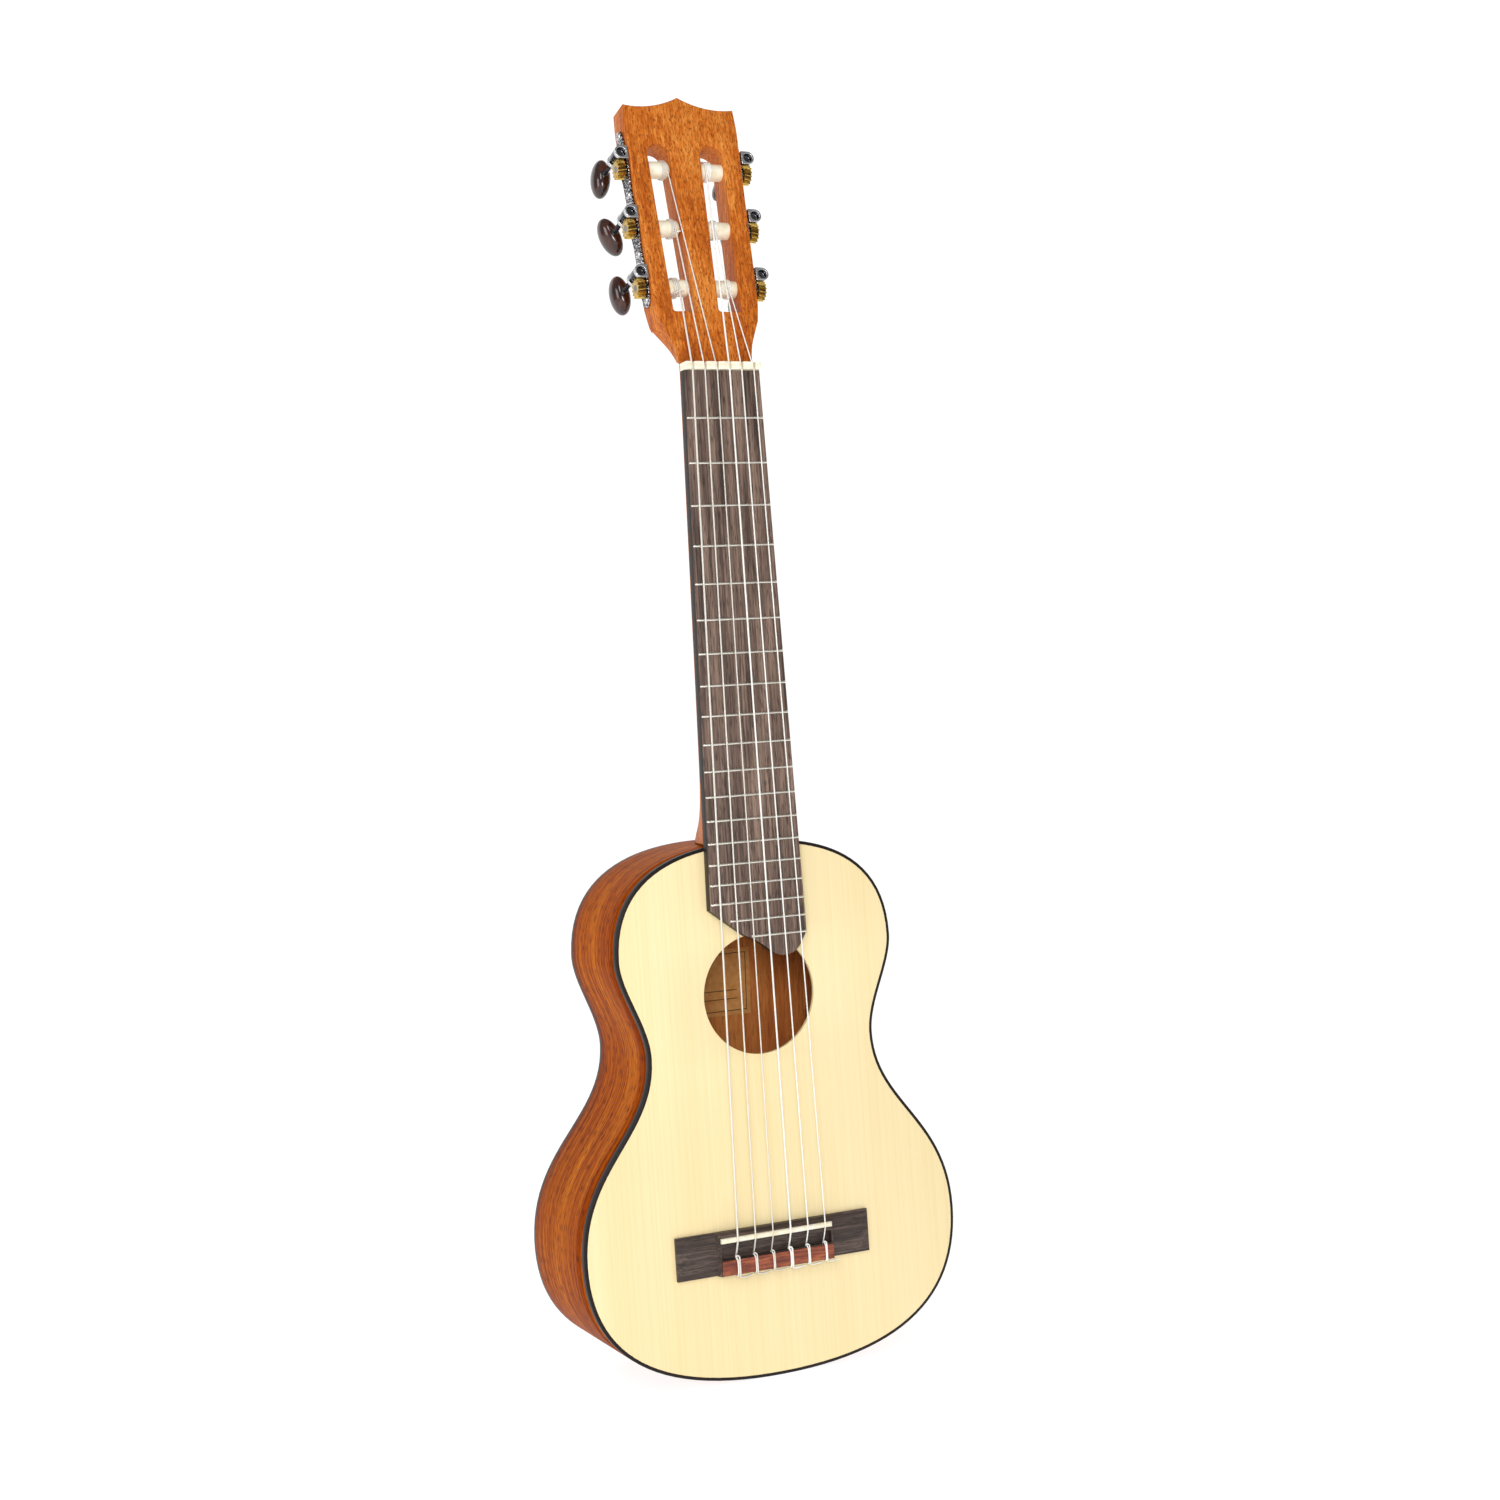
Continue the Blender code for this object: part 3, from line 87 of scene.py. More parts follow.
def body_outline(inset, steps=outline_steps):
    """The whole outline, clockwise from the neck joint, moved inward."""
    half = half_outline(steps)
    loop = half + [(-x, z) for x, z in reversed(half[1:-1])]
    moved = []
    for i, (x, z) in enumerate(loop):
        before, after = loop[i - 1], loop[(i + 1) % len(loop)]
        along = Vector((after[0] - before[0], after[1] - before[1])).normalized()
        moved.append((x + along.y * inset, z - along.x * inset))
    return moved


def linear(code):
    """An sRGB hex colour as linear RGBA."""
    parts = [int(code[i:i + 2], 16) / 255 for i in (1, 3, 5)]
    return [c / 12.92 if c <= 0.04045 else ((c + 0.055) / 1.055) ** 2.4 for c in parts] + [1.0]


def add_node(tree, kind, inputs=None, stops=(), **settings):
    """Adds a shader node with its settings; an input is given a value or another node's output.

    A pattern that is given no place to read follows the object's own coordinates, in metres.
    """
    made = tree.nodes.new("ShaderNode" + kind)
    for key, value in settings.items():
        setattr(made, key, value)
    for key, value in (inputs or {}).items():
        if isinstance(value, bpy.types.NodeSocket):
            tree.links.new(value, made.inputs[key])
        else:
            made.inputs[key].default_value = value
    if kind in ("TexNoise", "TexVoronoi", "TexWave") and not made.inputs["Vector"].is_linked:
        tree.links.new(tree.nodes.new("ShaderNodeTexCoord").outputs["Object"], made.inputs["Vector"])
    for place, (position, code) in enumerate(stops):
        band = made.color_ramp.elements
        stop = band[place] if place < len(band) else band.new(position)
        stop.position = position
        stop.color = linear(code)
    return made


def new_material(name, code, roughness, metallic=0.0, specular=0.5, coat=0.0):
    made = bpy.data.materials.new(name)
    made.use_nodes = True
    shader = made.node_tree.nodes["Principled BSDF"]
    shader.inputs["Base Color"].default_value = linear(code)
    shader.inputs["Roughness"].default_value = roughness
    shader.inputs["Metallic"].default_value = metallic
    shader.inputs["Specular IOR Level"].default_value = specular
    shader.inputs["Coat Weight"].default_value = coat
    return made, made.node_tree, shader


def uneven(tree, shader, pattern, tones=(), gloss=(), relief=0.0, height=0.0001):
    """Lets a pattern show in a finish: as tones of its colour, as two roughnesses, and as relief in metres."""
    if tones:
        tone = add_node(tree, "ValToRGB", {"Fac": pattern}, stops=tones).outputs["Color"]
        tree.links.new(tone, shader.inputs["Base Color"])
    if gloss:
        rough = add_node(tree, "MapRange", {"Value": pattern, "To Min": gloss[0], "To Max": gloss[1]})
        tree.links.new(rough.outputs["Result"], shader.inputs["Roughness"])
    if relief:
        bump = add_node(tree, "Bump", {"Height": pattern, "Strength": relief, "Distance": height})
        tree.links.new(bump.outputs["Normal"], shader.inputs["Normal"])


def wood(name, colours, pore_colour, fibre, band, pore, pores, roughness, specular=0.5, relief=0.2, along=2,
         place="Object"):
    """Wood with broad bands, fibres and short dark pores.

    Fibre, band and pore are (width, length) in mm; along is the axis that the grain follows.
    """
    made, tree, shader = new_material(name, colours[1], roughness, specular=specular)
    spot = add_node(tree, "TexCoord").outputs[place]
    patterns = []
    for (width, length), detail, warp in ((band, 3.0, 0.6), (fibre, 4.0, 0.0), (pore, 1.0, 0.0)):
        scale = [1000 / width] * 3
        scale[along] = 1000 / length
        stretched = add_node(tree, "Mapping", {"Vector": spot, "Scale": scale}).outputs["Vector"]
        noise = add_node(tree, "TexNoise", {"Vector": stretched, "Scale": 1.0, "Detail": detail, "Distortion": warp})
        patterns.append(noise.outputs["Fac"])
    bands, fibres, dots = patterns
    mixed = add_node(tree, "Mix", {0: 0.5, 2: bands, 3: fibres}, data_type="FLOAT").outputs[0]
    dark, middle, light = colours
    body = add_node(tree, "ValToRGB", {"Fac": mixed}, stops=((0.38, dark), (0.63, light), (0.50, middle)))
    spots = add_node(tree, "MapRange", {"Value": dots, "From Min": 0.54, "From Max": 0.68, "To Max": pores})
    spots = spots.outputs["Result"]
    colour = add_node(tree, "Mix", {0: spots, 6: body.outputs["Color"], 7: linear(pore_colour)}, data_type="RGBA")
    tree.links.new(colour.outputs[2], shader.inputs["Base Color"])
    uneven(tree, shader, fibres, gloss=(roughness - 0.07, roughness + 0.10))
    surface = add_node(tree, "Math", {0: fibres, 1: spots}, operation="SUBTRACT").outputs["Value"]
    uneven(tree, shader, surface, relief=relief)
    return made


def finished(name, bm, look, sharp=35):
    """A finished piece at the origin, from a bmesh whose points are already in place."""
    bmesh.ops.remove_doubles(bm, verts=bm.verts, dist=same_place)
    bmesh.ops.recalc_face_normals(bm, faces=bm.faces)
    mesh = bpy.data.meshes.new(name)
    bm.to_mesh(mesh)
    bm.free()
    mesh.shade_smooth()
    mesh.set_sharp_from_angle(angle=radians(sharp))
    mesh.materials.append(look)
    made = bpy.data.objects.new(name, mesh)
    bpy.context.collection.objects.link(made)
    return made


def board(name, outlines, thickness, rounding, look, place, sharp=35):
    """A flat board with holes and rounded edges, from (x, z) outlines; place maps (x, depth, z)."""
    curve = bpy.data.curves.new(name, "CURVE")
    curve.dimensions = "2D"
    curve.fill_mode = "BOTH"
    curve.extrude = thickness / 2 - rounding
    curve.bevel_depth = rounding
    curve.bevel_resolution = 2
    curve.offset = -rounding
    for outline in outlines:
        spline = curve.splines.new("POLY")
        spline.points.add(len(outline) - 1)
        spline.use_cyclic_u = True
        for point, (x, z) in zip(spline.points, outline):
            point.co = (x, z, 0, 1)
    shape = bpy.data.objects.new(name + "_shape", curve)
    bpy.context.collection.objects.link(shape)
    mesh = bpy.data.meshes.new_from_object(shape.evaluated_get(bpy.context.evaluated_depsgraph_get()))
    bpy.data.objects.remove(shape, do_unlink=True)
    bm = bmesh.new()
    bm.from_mesh(mesh)
    bpy.data.meshes.remove(mesh)
    for vert in bm.verts:
        x, z, depth = vert.co
        vert.co = place(x, thickness / 2 - depth, z)
    return finished(name, bm, look, sharp)


# The yearly rings stand about 1.1 mm apart and run the whole length, so the eye sees fine, even, upright lines.
spruce = wood("spruce_satin_lacquer", ("#F2DBA5", "#F5E0AC", "#F8E5B5"), "#ECD193", fibre=(1.1, 420),
              band=(34, 420), pore=(0.7, 9), pores=0.10, roughness=0.34, specular=0.4, relief=0.05)
turns = [2 * pi * k / hole_points for k in range(hole_points)]
hole = [(hole_radius * cos(a), hole_z + hole_radius * sin(a)) for a in turns]
soundboard = board("soundboard_finish", [body_outline(rib_thickness), hole], top_thickness, edge_break, spruce,
                   lambda x, depth, z: (x, face_y + depth, z))
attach(soundboard, "instrument")
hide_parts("soundboard")


# Braces, bridge plate and blocks: strips of spruce and a plate of hardwood, glued under the soundboard and over
# the back, and two blocks that the ribs' ends are glued to. They are sawn and scraped, and never lacquered.
brace_rounding = 0.0012
flat_enough, sharpest_kept = radians(1), radians(30)    # facets that are joined, and edges that stay unrounded
raw_wood = wood("sawn_raw_wood", ("#96643A", "#B07C4B", "#C99A66"), "#7A4E2A", fibre=(1.5, 100), band=(20, 450),
                pore=(0.6, 3), pores=0.25, roughness=0.75, relief=0.3)


def softened(name, node, look, rounding, segments=3):
    """The solid of a CAD node, with its edges rounded off."""
    bm = bmesh.new()
    bm.from_mesh(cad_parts[node].data)
    bmesh.ops.remove_doubles(bm, verts=bm.verts, dist=same_place)
    bmesh.ops.dissolve_limit(bm, angle_limit=flat_enough, verts=bm.verts, edges=bm.edges)
    made = finished(name, bm, look)
    edge = made.modifiers.new("soft_edges", "BEVEL")
    edge.width = rounding
    edge.segments = segments
    edge.limit_method = "ANGLE"
    edge.angle_limit = sharpest_kept
    return made


for wooden in ("neck_block", "tail_block", "bridge_plate", "top_brace_upper", "top_brace_lower",
               "back_brace_upper", "back_brace_middle", "back_brace_lower",
               "fan_brace_bass", "fan_brace_middle", "fan_brace_treble"):
    brace = softened(wooden + "_shaped", wooden, raw_wood, brace_rounding)
    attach(brace, "instrument")
    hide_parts(wooden)


# Ribs: two thin strips of mahogany veneer, bent over heat to the outline and glued to the blocks.
# The grain runs round the body. Gloss lacquer over the dark pores makes them a deep orange brown.
top_binding, back_binding = 0.0040, 0.0030
tail_depth, shoulder_depth = 0.0905, 0.0680
rib_rows = 8
strip_apart = 0.3               # the two strips were cut this far apart in the veneer, so their grain differs
# The fibres are about 1.4 mm wide and 90 mm long, with darker ribbons 34 mm wide among them. The pores are drawn
# 0.8 mm wide, coarser than real ones, so that they show.
mahogany_colours = ("#642203", "#9C4508", "#C87018")
rib_wood = wood("mahogany_gloss_lacquer", mahogany_colours, "#4E1D0A", fibre=(1.4, 90), band=(34, 260),
                pore=(0.8, 6), pores=0.85, roughness=0.46, specular=0.02, relief=0.12, along=1, place="UV")


def back_depth(z):
    """Depth of the back's outer face behind the soundboard's: the body gets shallower towards the neck."""
    return tail_depth + (shoulder_depth - tail_depth) * z / body_top


def next_row(bm, edges):
    """Extrudes a row of edges, and returns the new row's points and its edges."""
    grown = bmesh.ops.extrude_edge_only(bm, edges=edges)["geom"]
    fresh = {item for item in grown if isinstance(item, bmesh.types.BMVert)}
    return fresh, [item for item in grown if isinstance(item, bmesh.types.BMEdge) and set(item.verts) <= fresh]


for word, side in (("bass", -1), ("treble", 1)):
    bm = bmesh.new()
    travelled = bm.verts.layers.float.new("travelled")
    grain = bm.loops.layers.uv.new("UVMap")
    row = [bm.verts.new((side * x, face_y + top_binding, z)) for x, z in half_outline(outline_steps)]
    edges = [bm.edges.new(pair) for pair in zip(row, row[1:])]
    for edge in edges:
        start, end = edge.verts
        end[travelled] = start[travelled] + edge.calc_length()
    for k in range(1, rib_rows + 1):
        fresh, edges = next_row(bm, edges)
        for vert in fresh:
            width = back_depth(vert.co.z) - back_binding - top_binding
            vert.co.y = face_y + top_binding + width * k / rib_rows
    for face in bm.faces:
        for loop in face.loops:
            loop[grain].uv = (loop.vert.co.y + strip_apart * side, loop.vert[travelled])
    rib = finished("rib_finish_" + word, bm, rib_wood)
    middle = rib.data.polygons[len(rib.data.polygons) // 2]
    wall = rib.modifiers.new("veneer", "SOLIDIFY")
    wall.thickness = rib_thickness
    wall.offset = -1.0 if middle.normal.x * side > 0 else 1.0
    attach(rib, "instrument")
    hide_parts("rib_" + word)


# Linings: strips of soft wood glued inside the ribs' edges, to give the soundboard and the back something to
# be glued to. They are sawn almost through every few millimetres, so that they bend like a row of small blocks.
lining_steps, lining_width, lining_height, lining_lip = 60, 0.0050, 0.0110, 0.0035
kerf = 0.06                     # share of each block that the saw takes at each end
slant_start = 0.35              # where across a block its slanting side reaches the foot
block_half, tail_half = 0.0290, 0.0230
back_thickness = 0.0025


def drawn_out(bm, rings, closed=False):
    """Extrudes a closed ring of points to each next ring, and caps both ends unless the last joins the first."""
    order = bm.verts.layers.int.get("order") or bm.verts.layers.int.new("order")
    verts = [bm.verts.new(point) for point in rings[0]]
    for k, vert in enumerate(verts):
        vert[order] = k
    edges = [bm.edges.new(pair) for pair in zip(verts, verts[1:] + verts[:1])]
    if not closed:
        bmesh.ops.contextual_create(bm, geom=edges)
    for ring in rings[1:] + rings[:1] * closed:
        fresh, edges = next_row(bm, edges)
        for vert in fresh:
            vert.co = ring[vert[order]]
    if not closed:
        bmesh.ops.contextual_create(bm, geom=edges)


for word, side in (("bass", -1), ("treble", 1)):
    count = len(half_outline(lining_steps))
    outer = body_outline(rib_thickness, lining_steps)[:count]
    inner = body_outline(rib_thickness + lining_width, lining_steps)[:count]
    for name, sign in (("top_lining_", 1), ("back_lining_", -1)):
        bm = bmesh.new()
        for i in range(1, count - 2):
            stop = block_half if outer[i][1] > body_top / 2 else tail_half
            if min(outer[i][0], inner[i][0], inner[i + 1][0]) < stop:
                continue
            rings = []
            for share in (kerf, 1 - kerf):
                x, z = Vector(outer[i]).lerp(Vector(outer[i + 1]), share)
                u, w = Vector(inner[i]).lerp(Vector(inner[i + 1]), share)
                m, n = Vector((x, z)).lerp(Vector((u, w)), slant_start)
                level = face_y + (top_thickness if sign > 0 else back_depth(z) - back_thickness)
                lip, foot = level + sign * lining_lip, level + sign * lining_height
                rings.append([(side * x, level, z), (side * u, level, w), (side * u, lip, w), (side * m, foot, n),
                              (side * x, foot, z)])
            drawn_out(bm, rings)
        lining = finished(name + word + "_kerfed", bm, raw_wood)
        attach(lining, "instrument")
        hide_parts(name + word)


# Back: a flat sheet of mahogany plywood, its grain upright, lacquered outside and left bare inside.
# It slopes forward from the tail to the neck.
back_wood = wood("mahogany_sheet_lacquer", mahogany_colours, "#4E1D0A", fibre=(1.8, 140), band=(30, 450),
                 pore=(0.8, 8), pores=0.55, roughness=0.42, specular=0.20, relief=0.12)
bare_wood = wood("mahogany_bare", ("#C4682A", "#DC823C", "#EC984C"), "#8A4519", fibre=(1.8, 140), band=(30, 450),
                 pore=(0.8, 8), pores=0.35, roughness=0.70, relief=0.2)
back = board("back_finish", [body_outline(rib_thickness)], back_thickness, edge_break, back_wood,
             lambda x, depth, z: (x, face_y + back_depth(z) - back_thickness + depth, z))
back.data.materials.append(bare_wood)
for face in back.data.polygons:
    if face.normal.y < -0.9:
        face.material_index = 1
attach(back, "instrument")
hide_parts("back")


# Label: a piece of tan paper glued inside the back, where it shows through the sound hole.
# It is printed only with a plain border and two rules, with no lettering.
paper, tree, shader = new_material("tan_paper", "#E89E50", 0.85)
# Paper fibres are drawn about 4 mm long, coarser than real ones, so that the sheet doesn't look flat.
fibre = add_node(tree, "TexNoise", {"Scale": 260.0, "Detail": 5.0}).outputs["Fac"]
uneven(tree, shader, fibre, ((0.30, "#DC9248"), (0.70, "#F0B06A")), relief=0.15)
label = softened("label_sheet", "label", paper, 0.0001, 1)
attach(label, "instrument")
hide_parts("label")

ink, tree, shader = new_material("printing_ink", "#6B4A26", 0.80)
# Ink soaks into the paper unevenly, in patches of about 1 mm.
patchy = add_node(tree, "TexNoise", {"Scale": 1000.0, "Detail": 2.0}).outputs["Fac"]
uneven(tree, shader, patchy, ((0.30, "#553817"), (0.70, "#7F5B33")))
label_low, label_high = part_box("label")
border, stroke, rule_inset, ink_height = 0.0025, 0.0005, 0.0060, 0.00005
rule_rises = (0.0070, 0.0120)
left, right = label_low.x + border, label_high.x - border
low, high = label_low.z + border, label_high.z - border
bars = [(left, low, right, low + stroke), (left, high - stroke, right, high),
        (left, low, left + stroke, high), (right - stroke, low, right, high)]
bars += [(left + rule_inset, low + rise, right - rule_inset, low + rise + stroke) for rise in rule_rises]
bm = bmesh.new()
slope = (tail_depth - shoulder_depth) / body_top
for x0, z0, x1, z1 in bars:
    size = Matrix.Diagonal((x1 - x0, ink_height, z1 - z0, 1))
    depth = label_low.y + slope * (label_high.z - (z0 + z1) / 2)
    bar = bmesh.ops.create_cube(bm, size=1.0)["verts"]
    bmesh.ops.transform(bm, matrix=size, verts=bar)
    for vert in bar:
        vert.co += Vector(((x0 + x1) / 2, depth, (z0 + z1) / 2))
        vert.co.y -= slope * (vert.co.z - (z0 + z1) / 2)
rules = finished("label_rules", bm, ink)
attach(rules, "instrument")


# Bindings: thin strips of black plastic, let into the front and back edges of the body over the ribs.
# They are glued, scraped flush and polished, and their outer corners are rounded.
binding_look, tree, shader = new_material("black_binding_plastic", "#15100E", 0.40, specular=0.25)
# Scraping leaves fine marks, about 1 mm long.
marks = add_node(tree, "TexNoise", {"Scale": 900.0, "Detail": 2.0}).outputs["Fac"]
uneven(tree, shader, marks, ((0.30, "#0E0A09"), (0.80, "#241B17")), relief=0.08)
corner = 0.0006
halfway = corner * 0.3          # where the rounded corner turns from the side to the face
for name, node, near, far, sign in (
    ("front_binding", "binding_top", lambda z: 0.0, lambda z: top_binding, 1),
    ("rear_binding", "binding_back", back_depth, lambda z: back_depth(z) - back_binding, -1),
):
    outside, between, inside = body_outline(0.0), body_outline(halfway), body_outline(corner)
    glued = body_outline(rib_thickness)
    profile = ((outside, far, 0.0), (outside, near, corner), (between, near, halfway), (inside, near, 0.0),
               (glued, near, 0.0), (glued, far, 0.0))
    bm = bmesh.new()
    drawn_out(bm, [[(x, face_y + depth(z) + sign * trim, z) for x, z in points] for points, depth, trim in profile],
              closed=True)
    binding = finished(name, bm, binding_look, 50)
    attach(binding, "instrument")
    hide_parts(node)


# Neck and head: one piece of mahogany, sawn, carved round behind and left slim, with two slots cut right
# through the pitched head. A thin satin lacquer over short dark pores gives it a bright orange brown.
nut_low, nut_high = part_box("nut")
nut_z, nut_half, nut_thickness = nut_low.z, nut_high.x, nut_high.z - nut_low.z
joint_gap = 0.0003
head_pitch, head_taper, face_drop = radians(10.8), radians(1.5), 0.0010
head_half, side_middle = 0.0325, 0.0868         # the half width, and where along the head it is measured
shoulder_half, shoulder_length, side_foot, side_top = 0.0296, 0.0310, 0.0460, 0.1390
head_length, corner_half, crown_rise, head_thickness = 0.1572, 0.0333, 0.0058, 0.0160
slot_inner, slot_outer, slot_start, slot_end = 0.0080, 0.0217, 0.0360, 0.1350
head_edge, foot_corner = 0.0005, 0.0016         # the roundings of the head's edges and of the slots' lower corners
shoulder_steps, shoulder_overlap = 14, 0.0040   # the head's mesh starts this far inside the neck's
# Fibres are 1.2 mm wide, and the pores are dark dashes 0.6 mm by 2.6 mm, a little coarser than real ones.
neck_wood = wood("mahogany_satin_lacquer", ("#9E4A14", "#C66A20", "#E29040"), "#6A2A0A", fibre=(1.2, 22),
                 band=(24, 300), pore=(0.6, 2.6), pores=0.70, roughness=0.44, specular=0.15, relief=0.18)


def on_head(x, depth, length):
    """A point in the head's frame: across, down into its pitched face, and along it from the nut."""
    return (x, face_y + face_drop + depth * cos(head_pitch) + length * sin(head_pitch),
            nut_z - depth * sin(head_pitch) + length * cos(head_pitch))


def leaning(side, out, length):
    """A place measured from one side of the head, which leans outward by the taper, as (x, length)."""
    up = length - side_middle
    return (side * (out * cos(head_taper) + up * sin(head_taper)),
            side_middle + up * cos(head_taper) - out * sin(head_taper))


def on_side(side, out, depth, length):
    """A point in the frame of one side of the head."""
    x, along = leaning(side, out, length)
    return on_head(x, depth, along)


def outward(side):
    """The direction straight out of one side of the head, along the rollers' axles."""
    return Vector(on_side(side, 1.0, 0, 0)) - Vector(on_side(side, 0, 0, 0))


def side_half(length):
    return head_half + (length - side_middle) * tan(head_taper)


def shoulder(steps):
    """The head's right edge from beside the nut to where its straight side starts."""
    half, start, foot = nut_half - joint_gap, nut_thickness + joint_gap, side_half(side_foot)
    points = bezier((half, start), (half, start + shoulder_length * 0.35),
                    (shoulder_half * 0.86, shoulder_length * 0.66), (shoulder_half, shoulder_length), steps)
    points += bezier((shoulder_half, shoulder_length), (foot * 0.97, shoulder_length + 0.0050),
                     (foot, side_foot - 0.0050), (foot, side_foot), steps)
    return points + [(foot, side_foot)]


top_half, peak = side_half(side_top), head_length + crown_rise
edge = [point for point in shoulder(shoulder_steps) if point[1] > shoulder_length - shoulder_overlap]
edge += bezier((top_half, side_top), (top_half * 1.01, side_top + 0.0060), (corner_half * 1.01, head_length - 0.0060),
               (corner_half, head_length), 10)
edge += bezier((corner_half, head_length), (0.0220, head_length - 0.0020), (0.0100, head_length + 0.0005),
               (0.0, peak), 20)
outlines = [edge + [(0.0, peak)] + [(-x, z) for x, z in reversed(edge)]]
for side in (-1, 1):
    centre, radius = (slot_inner + slot_outer) / 2, (slot_outer - slot_inner) / 2
    arch = [(centre + radius * cos(pi * k / 24), slot_end - radius + radius * sin(pi * k / 24)) for k in range(25)]
    turns = [pi / 2 * k / 5 for k in range(6)]
    foot = [(centre - radius + foot_corner * (1 - sin(a)), slot_start + foot_corner * (1 - cos(a)))
            for a in reversed(turns)]
    foot += [(centre + radius - foot_corner * (1 - sin(a)), slot_start + foot_corner * (1 - cos(a))) for a in turns]
    outlines.append([leaning(side, out, length) for out, length in arch + foot])
head = board("head_finish", outlines, head_thickness, head_edge, neck_wood, on_head, 40)
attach(head, "instrument")
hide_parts("neck")

neck_depth, shaft_at_heel, heel_depth, heel_length = 0.0145, 0.0165, 0.0600, 0.0420
heel_curve = ((0.0, 1.0), (0.03, 0.985), (0.12, 0.87), (0.24, 0.66), (0.38, 0.45), (0.54, 0.28), (0.74, 0.13),
              (1.0, 0.03), (1.5, 0.0))          # shares of the heel's length and of its depth
heel_narrowing, squareness = 0.52, 0.97
shaft_edge, heel_edge = 1.4, 0.55       # above 1 the neck runs out thinner at its edges, and below 1 it is fuller
section_steps, shaft_steps, near_share = 32, 60, 0.02
crowding = 1.6                          # the sections lie closer together near the heel
board_end_half = 0.0285
fret_scale, fret_count = 0.4650, 19
board_end_z = nut_z - fret_scale * (1 - 2 ** (-fret_count / 12))
heel_gap = 0.0001
proud = 0.00002                         # the neck's surface blends into the head's just above it


def board_half(z):
    return nut_half + (board_end_half - nut_half) * (nut_z - z) / (nut_z - board_end_z)


def neck_section(half, rear, heel, square, place):
    """One section of the neck: flat in front, round behind, narrow at the heel's cap, squarer near the head."""
    ring = []
    rounder = 1 - squareness * square
    for k in range(section_steps + 1):
        wide, deep = cos(pi * k / section_steps), max(0.0, sin(pi * k / section_steps))
        fullness = (shaft_edge + (heel_edge - shaft_edge) * heel) * rounder
        depth = deep ** fullness if 0 < k < section_steps else 0.0
        across = abs(wide) ** rounder * (1 if wide > 0 else -1)
        ring.append(place(half * across * (1 - heel_narrowing * heel * depth), rear * depth))
    return ring


def heel_share(up):
    """How much of the heel's depth is left at a share of its length, smoothed over its neighbours."""
    shares = []
    for near in (max(0.0, up - near_share), up, up + near_share):
        for (a, b), (c, d) in zip(heel_curve, heel_curve[1:]):
            if a <= near <= c:
                shares.append(b + (d - b) * (near - a) / (c - a))
                break
    return sum(shares) / len(shares) if shares else 0.0


rings = []
for k in range(shaft_steps + 1):
    share = k / shaft_steps
    z = body_top + heel_gap + (nut_z + nut_thickness + joint_gap - body_top) * share ** crowding
    up = (z - body_top) / heel_length
    shaft = neck_depth + (shaft_at_heel - neck_depth) * (nut_z - z) / (nut_z - body_top)
    heel = heel_share(up)
    rear = shaft + (heel_depth - shaft) * heel
    rings.append(neck_section(board_half(min(z, nut_z)), rear, heel, 0.0,
                              lambda x, depth: (x, face_y + depth, z)))
curve = shoulder(shoulder_steps)[1:shoulder_steps + 1]
for step, (half, length) in enumerate(curve, 1):
    share = step / len(curve)
    rear = neck_depth + (head_thickness + proud - neck_depth) * share
    front = (face_drop + length * sin(head_pitch)) - proud * share
    pitch = head_pitch * share
    rings.append(neck_section(half + proud * share, rear + proud, 0.0, sqrt(share),
                              lambda x, depth: (x, face_y + front + depth * cos(pitch),
                                                nut_z + length * cos(head_pitch) - depth * sin(pitch))))
bm = bmesh.new()
drawn_out(bm, rings)
neck = finished("neck_finish", bm, neck_wood, 50)
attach(neck, "instrument")
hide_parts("neck")


# Fingerboard: a slab of dark open-grained rosewood, glued to the neck and the soundboard, planed and oiled.
# Its end slants on the bass side and is rounded over the sound hole. Its sides are drawn near black.
board_thickness, board_gap, slant_rise, slant_run, fret_inset = 0.0054, 0.0003, 0.0158, 1.32, 0.0022
board_edge = 0.0003
# Broad streaks 5 mm wide run along it, with open pores drawn 0.6 mm wide, coarser than real ones.
board_wood = wood("rosewood_oiled", ("#3F312B", "#6C574C", "#927A6B"), "#261C18", fibre=(1.1, 70), band=(5, 90),
                  pore=(0.6, 7), pores=0.70, roughness=0.50, specular=0.35, relief=0.35)
board_side_dark, tree, shader = new_material("rosewood_sides_near_black", "#171311", 0.45, specular=0.3)
# The near-black sides still show the saw's grain, 2 mm wide.
grain = add_node(tree, "TexNoise", {"Scale": 500.0, "Detail": 3.0}).outputs["Fac"]
uneven(tree, shader, grain, ((0.30, "#0F0C0B"), (0.80, "#29211D")), relief=0.2)
slant_z = board_end_z + slant_rise
tongue = ((0.0245, 0.0067), (0.0210, 0.0125), (0.0120, 0.0145), (0.0050, 0.0080), (0.0022, 0.0052),
          (-0.0030, 0.0016), (-0.0088, -0.0007))            # x, and how far below the last fret
tongue = [(x, board_end_z - down) for x, down in tongue]
outline = [(nut_half, nut_z), (board_end_half, board_end_z)] + bezier(*tongue[:4], 14) + bezier(*tongue[3:], 6)
outline += [tongue[-1], (-board_half(slant_z), slant_z), (-nut_half, nut_z)]
slab = board("fingerboard_finish", [outline], board_thickness + board_gap, board_edge, board_wood,
             lambda x, depth, z: (x, face_y + depth - board_thickness - board_gap, z))
# The side faces take the near-black colour.
slab.data.materials.append(board_side_dark)
for face in slab.data.polygons:
    if abs(face.normal.y) < 0.5:
        face.material_index = 1
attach(slab, "instrument")
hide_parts("fingerboard")


# Frets: nickel-silver wire with a half-round crown, hammered into saw cuts, its ends filed to a bevel.
# Their places divide the string's length as each semitone does.
fret_width, fret_height, fret_end = 0.0016, 0.0011, 0.0005
nickel, tree, shader = new_material("nickel_silver_polished", "#EAE6DC", 0.24, metallic=1.0)
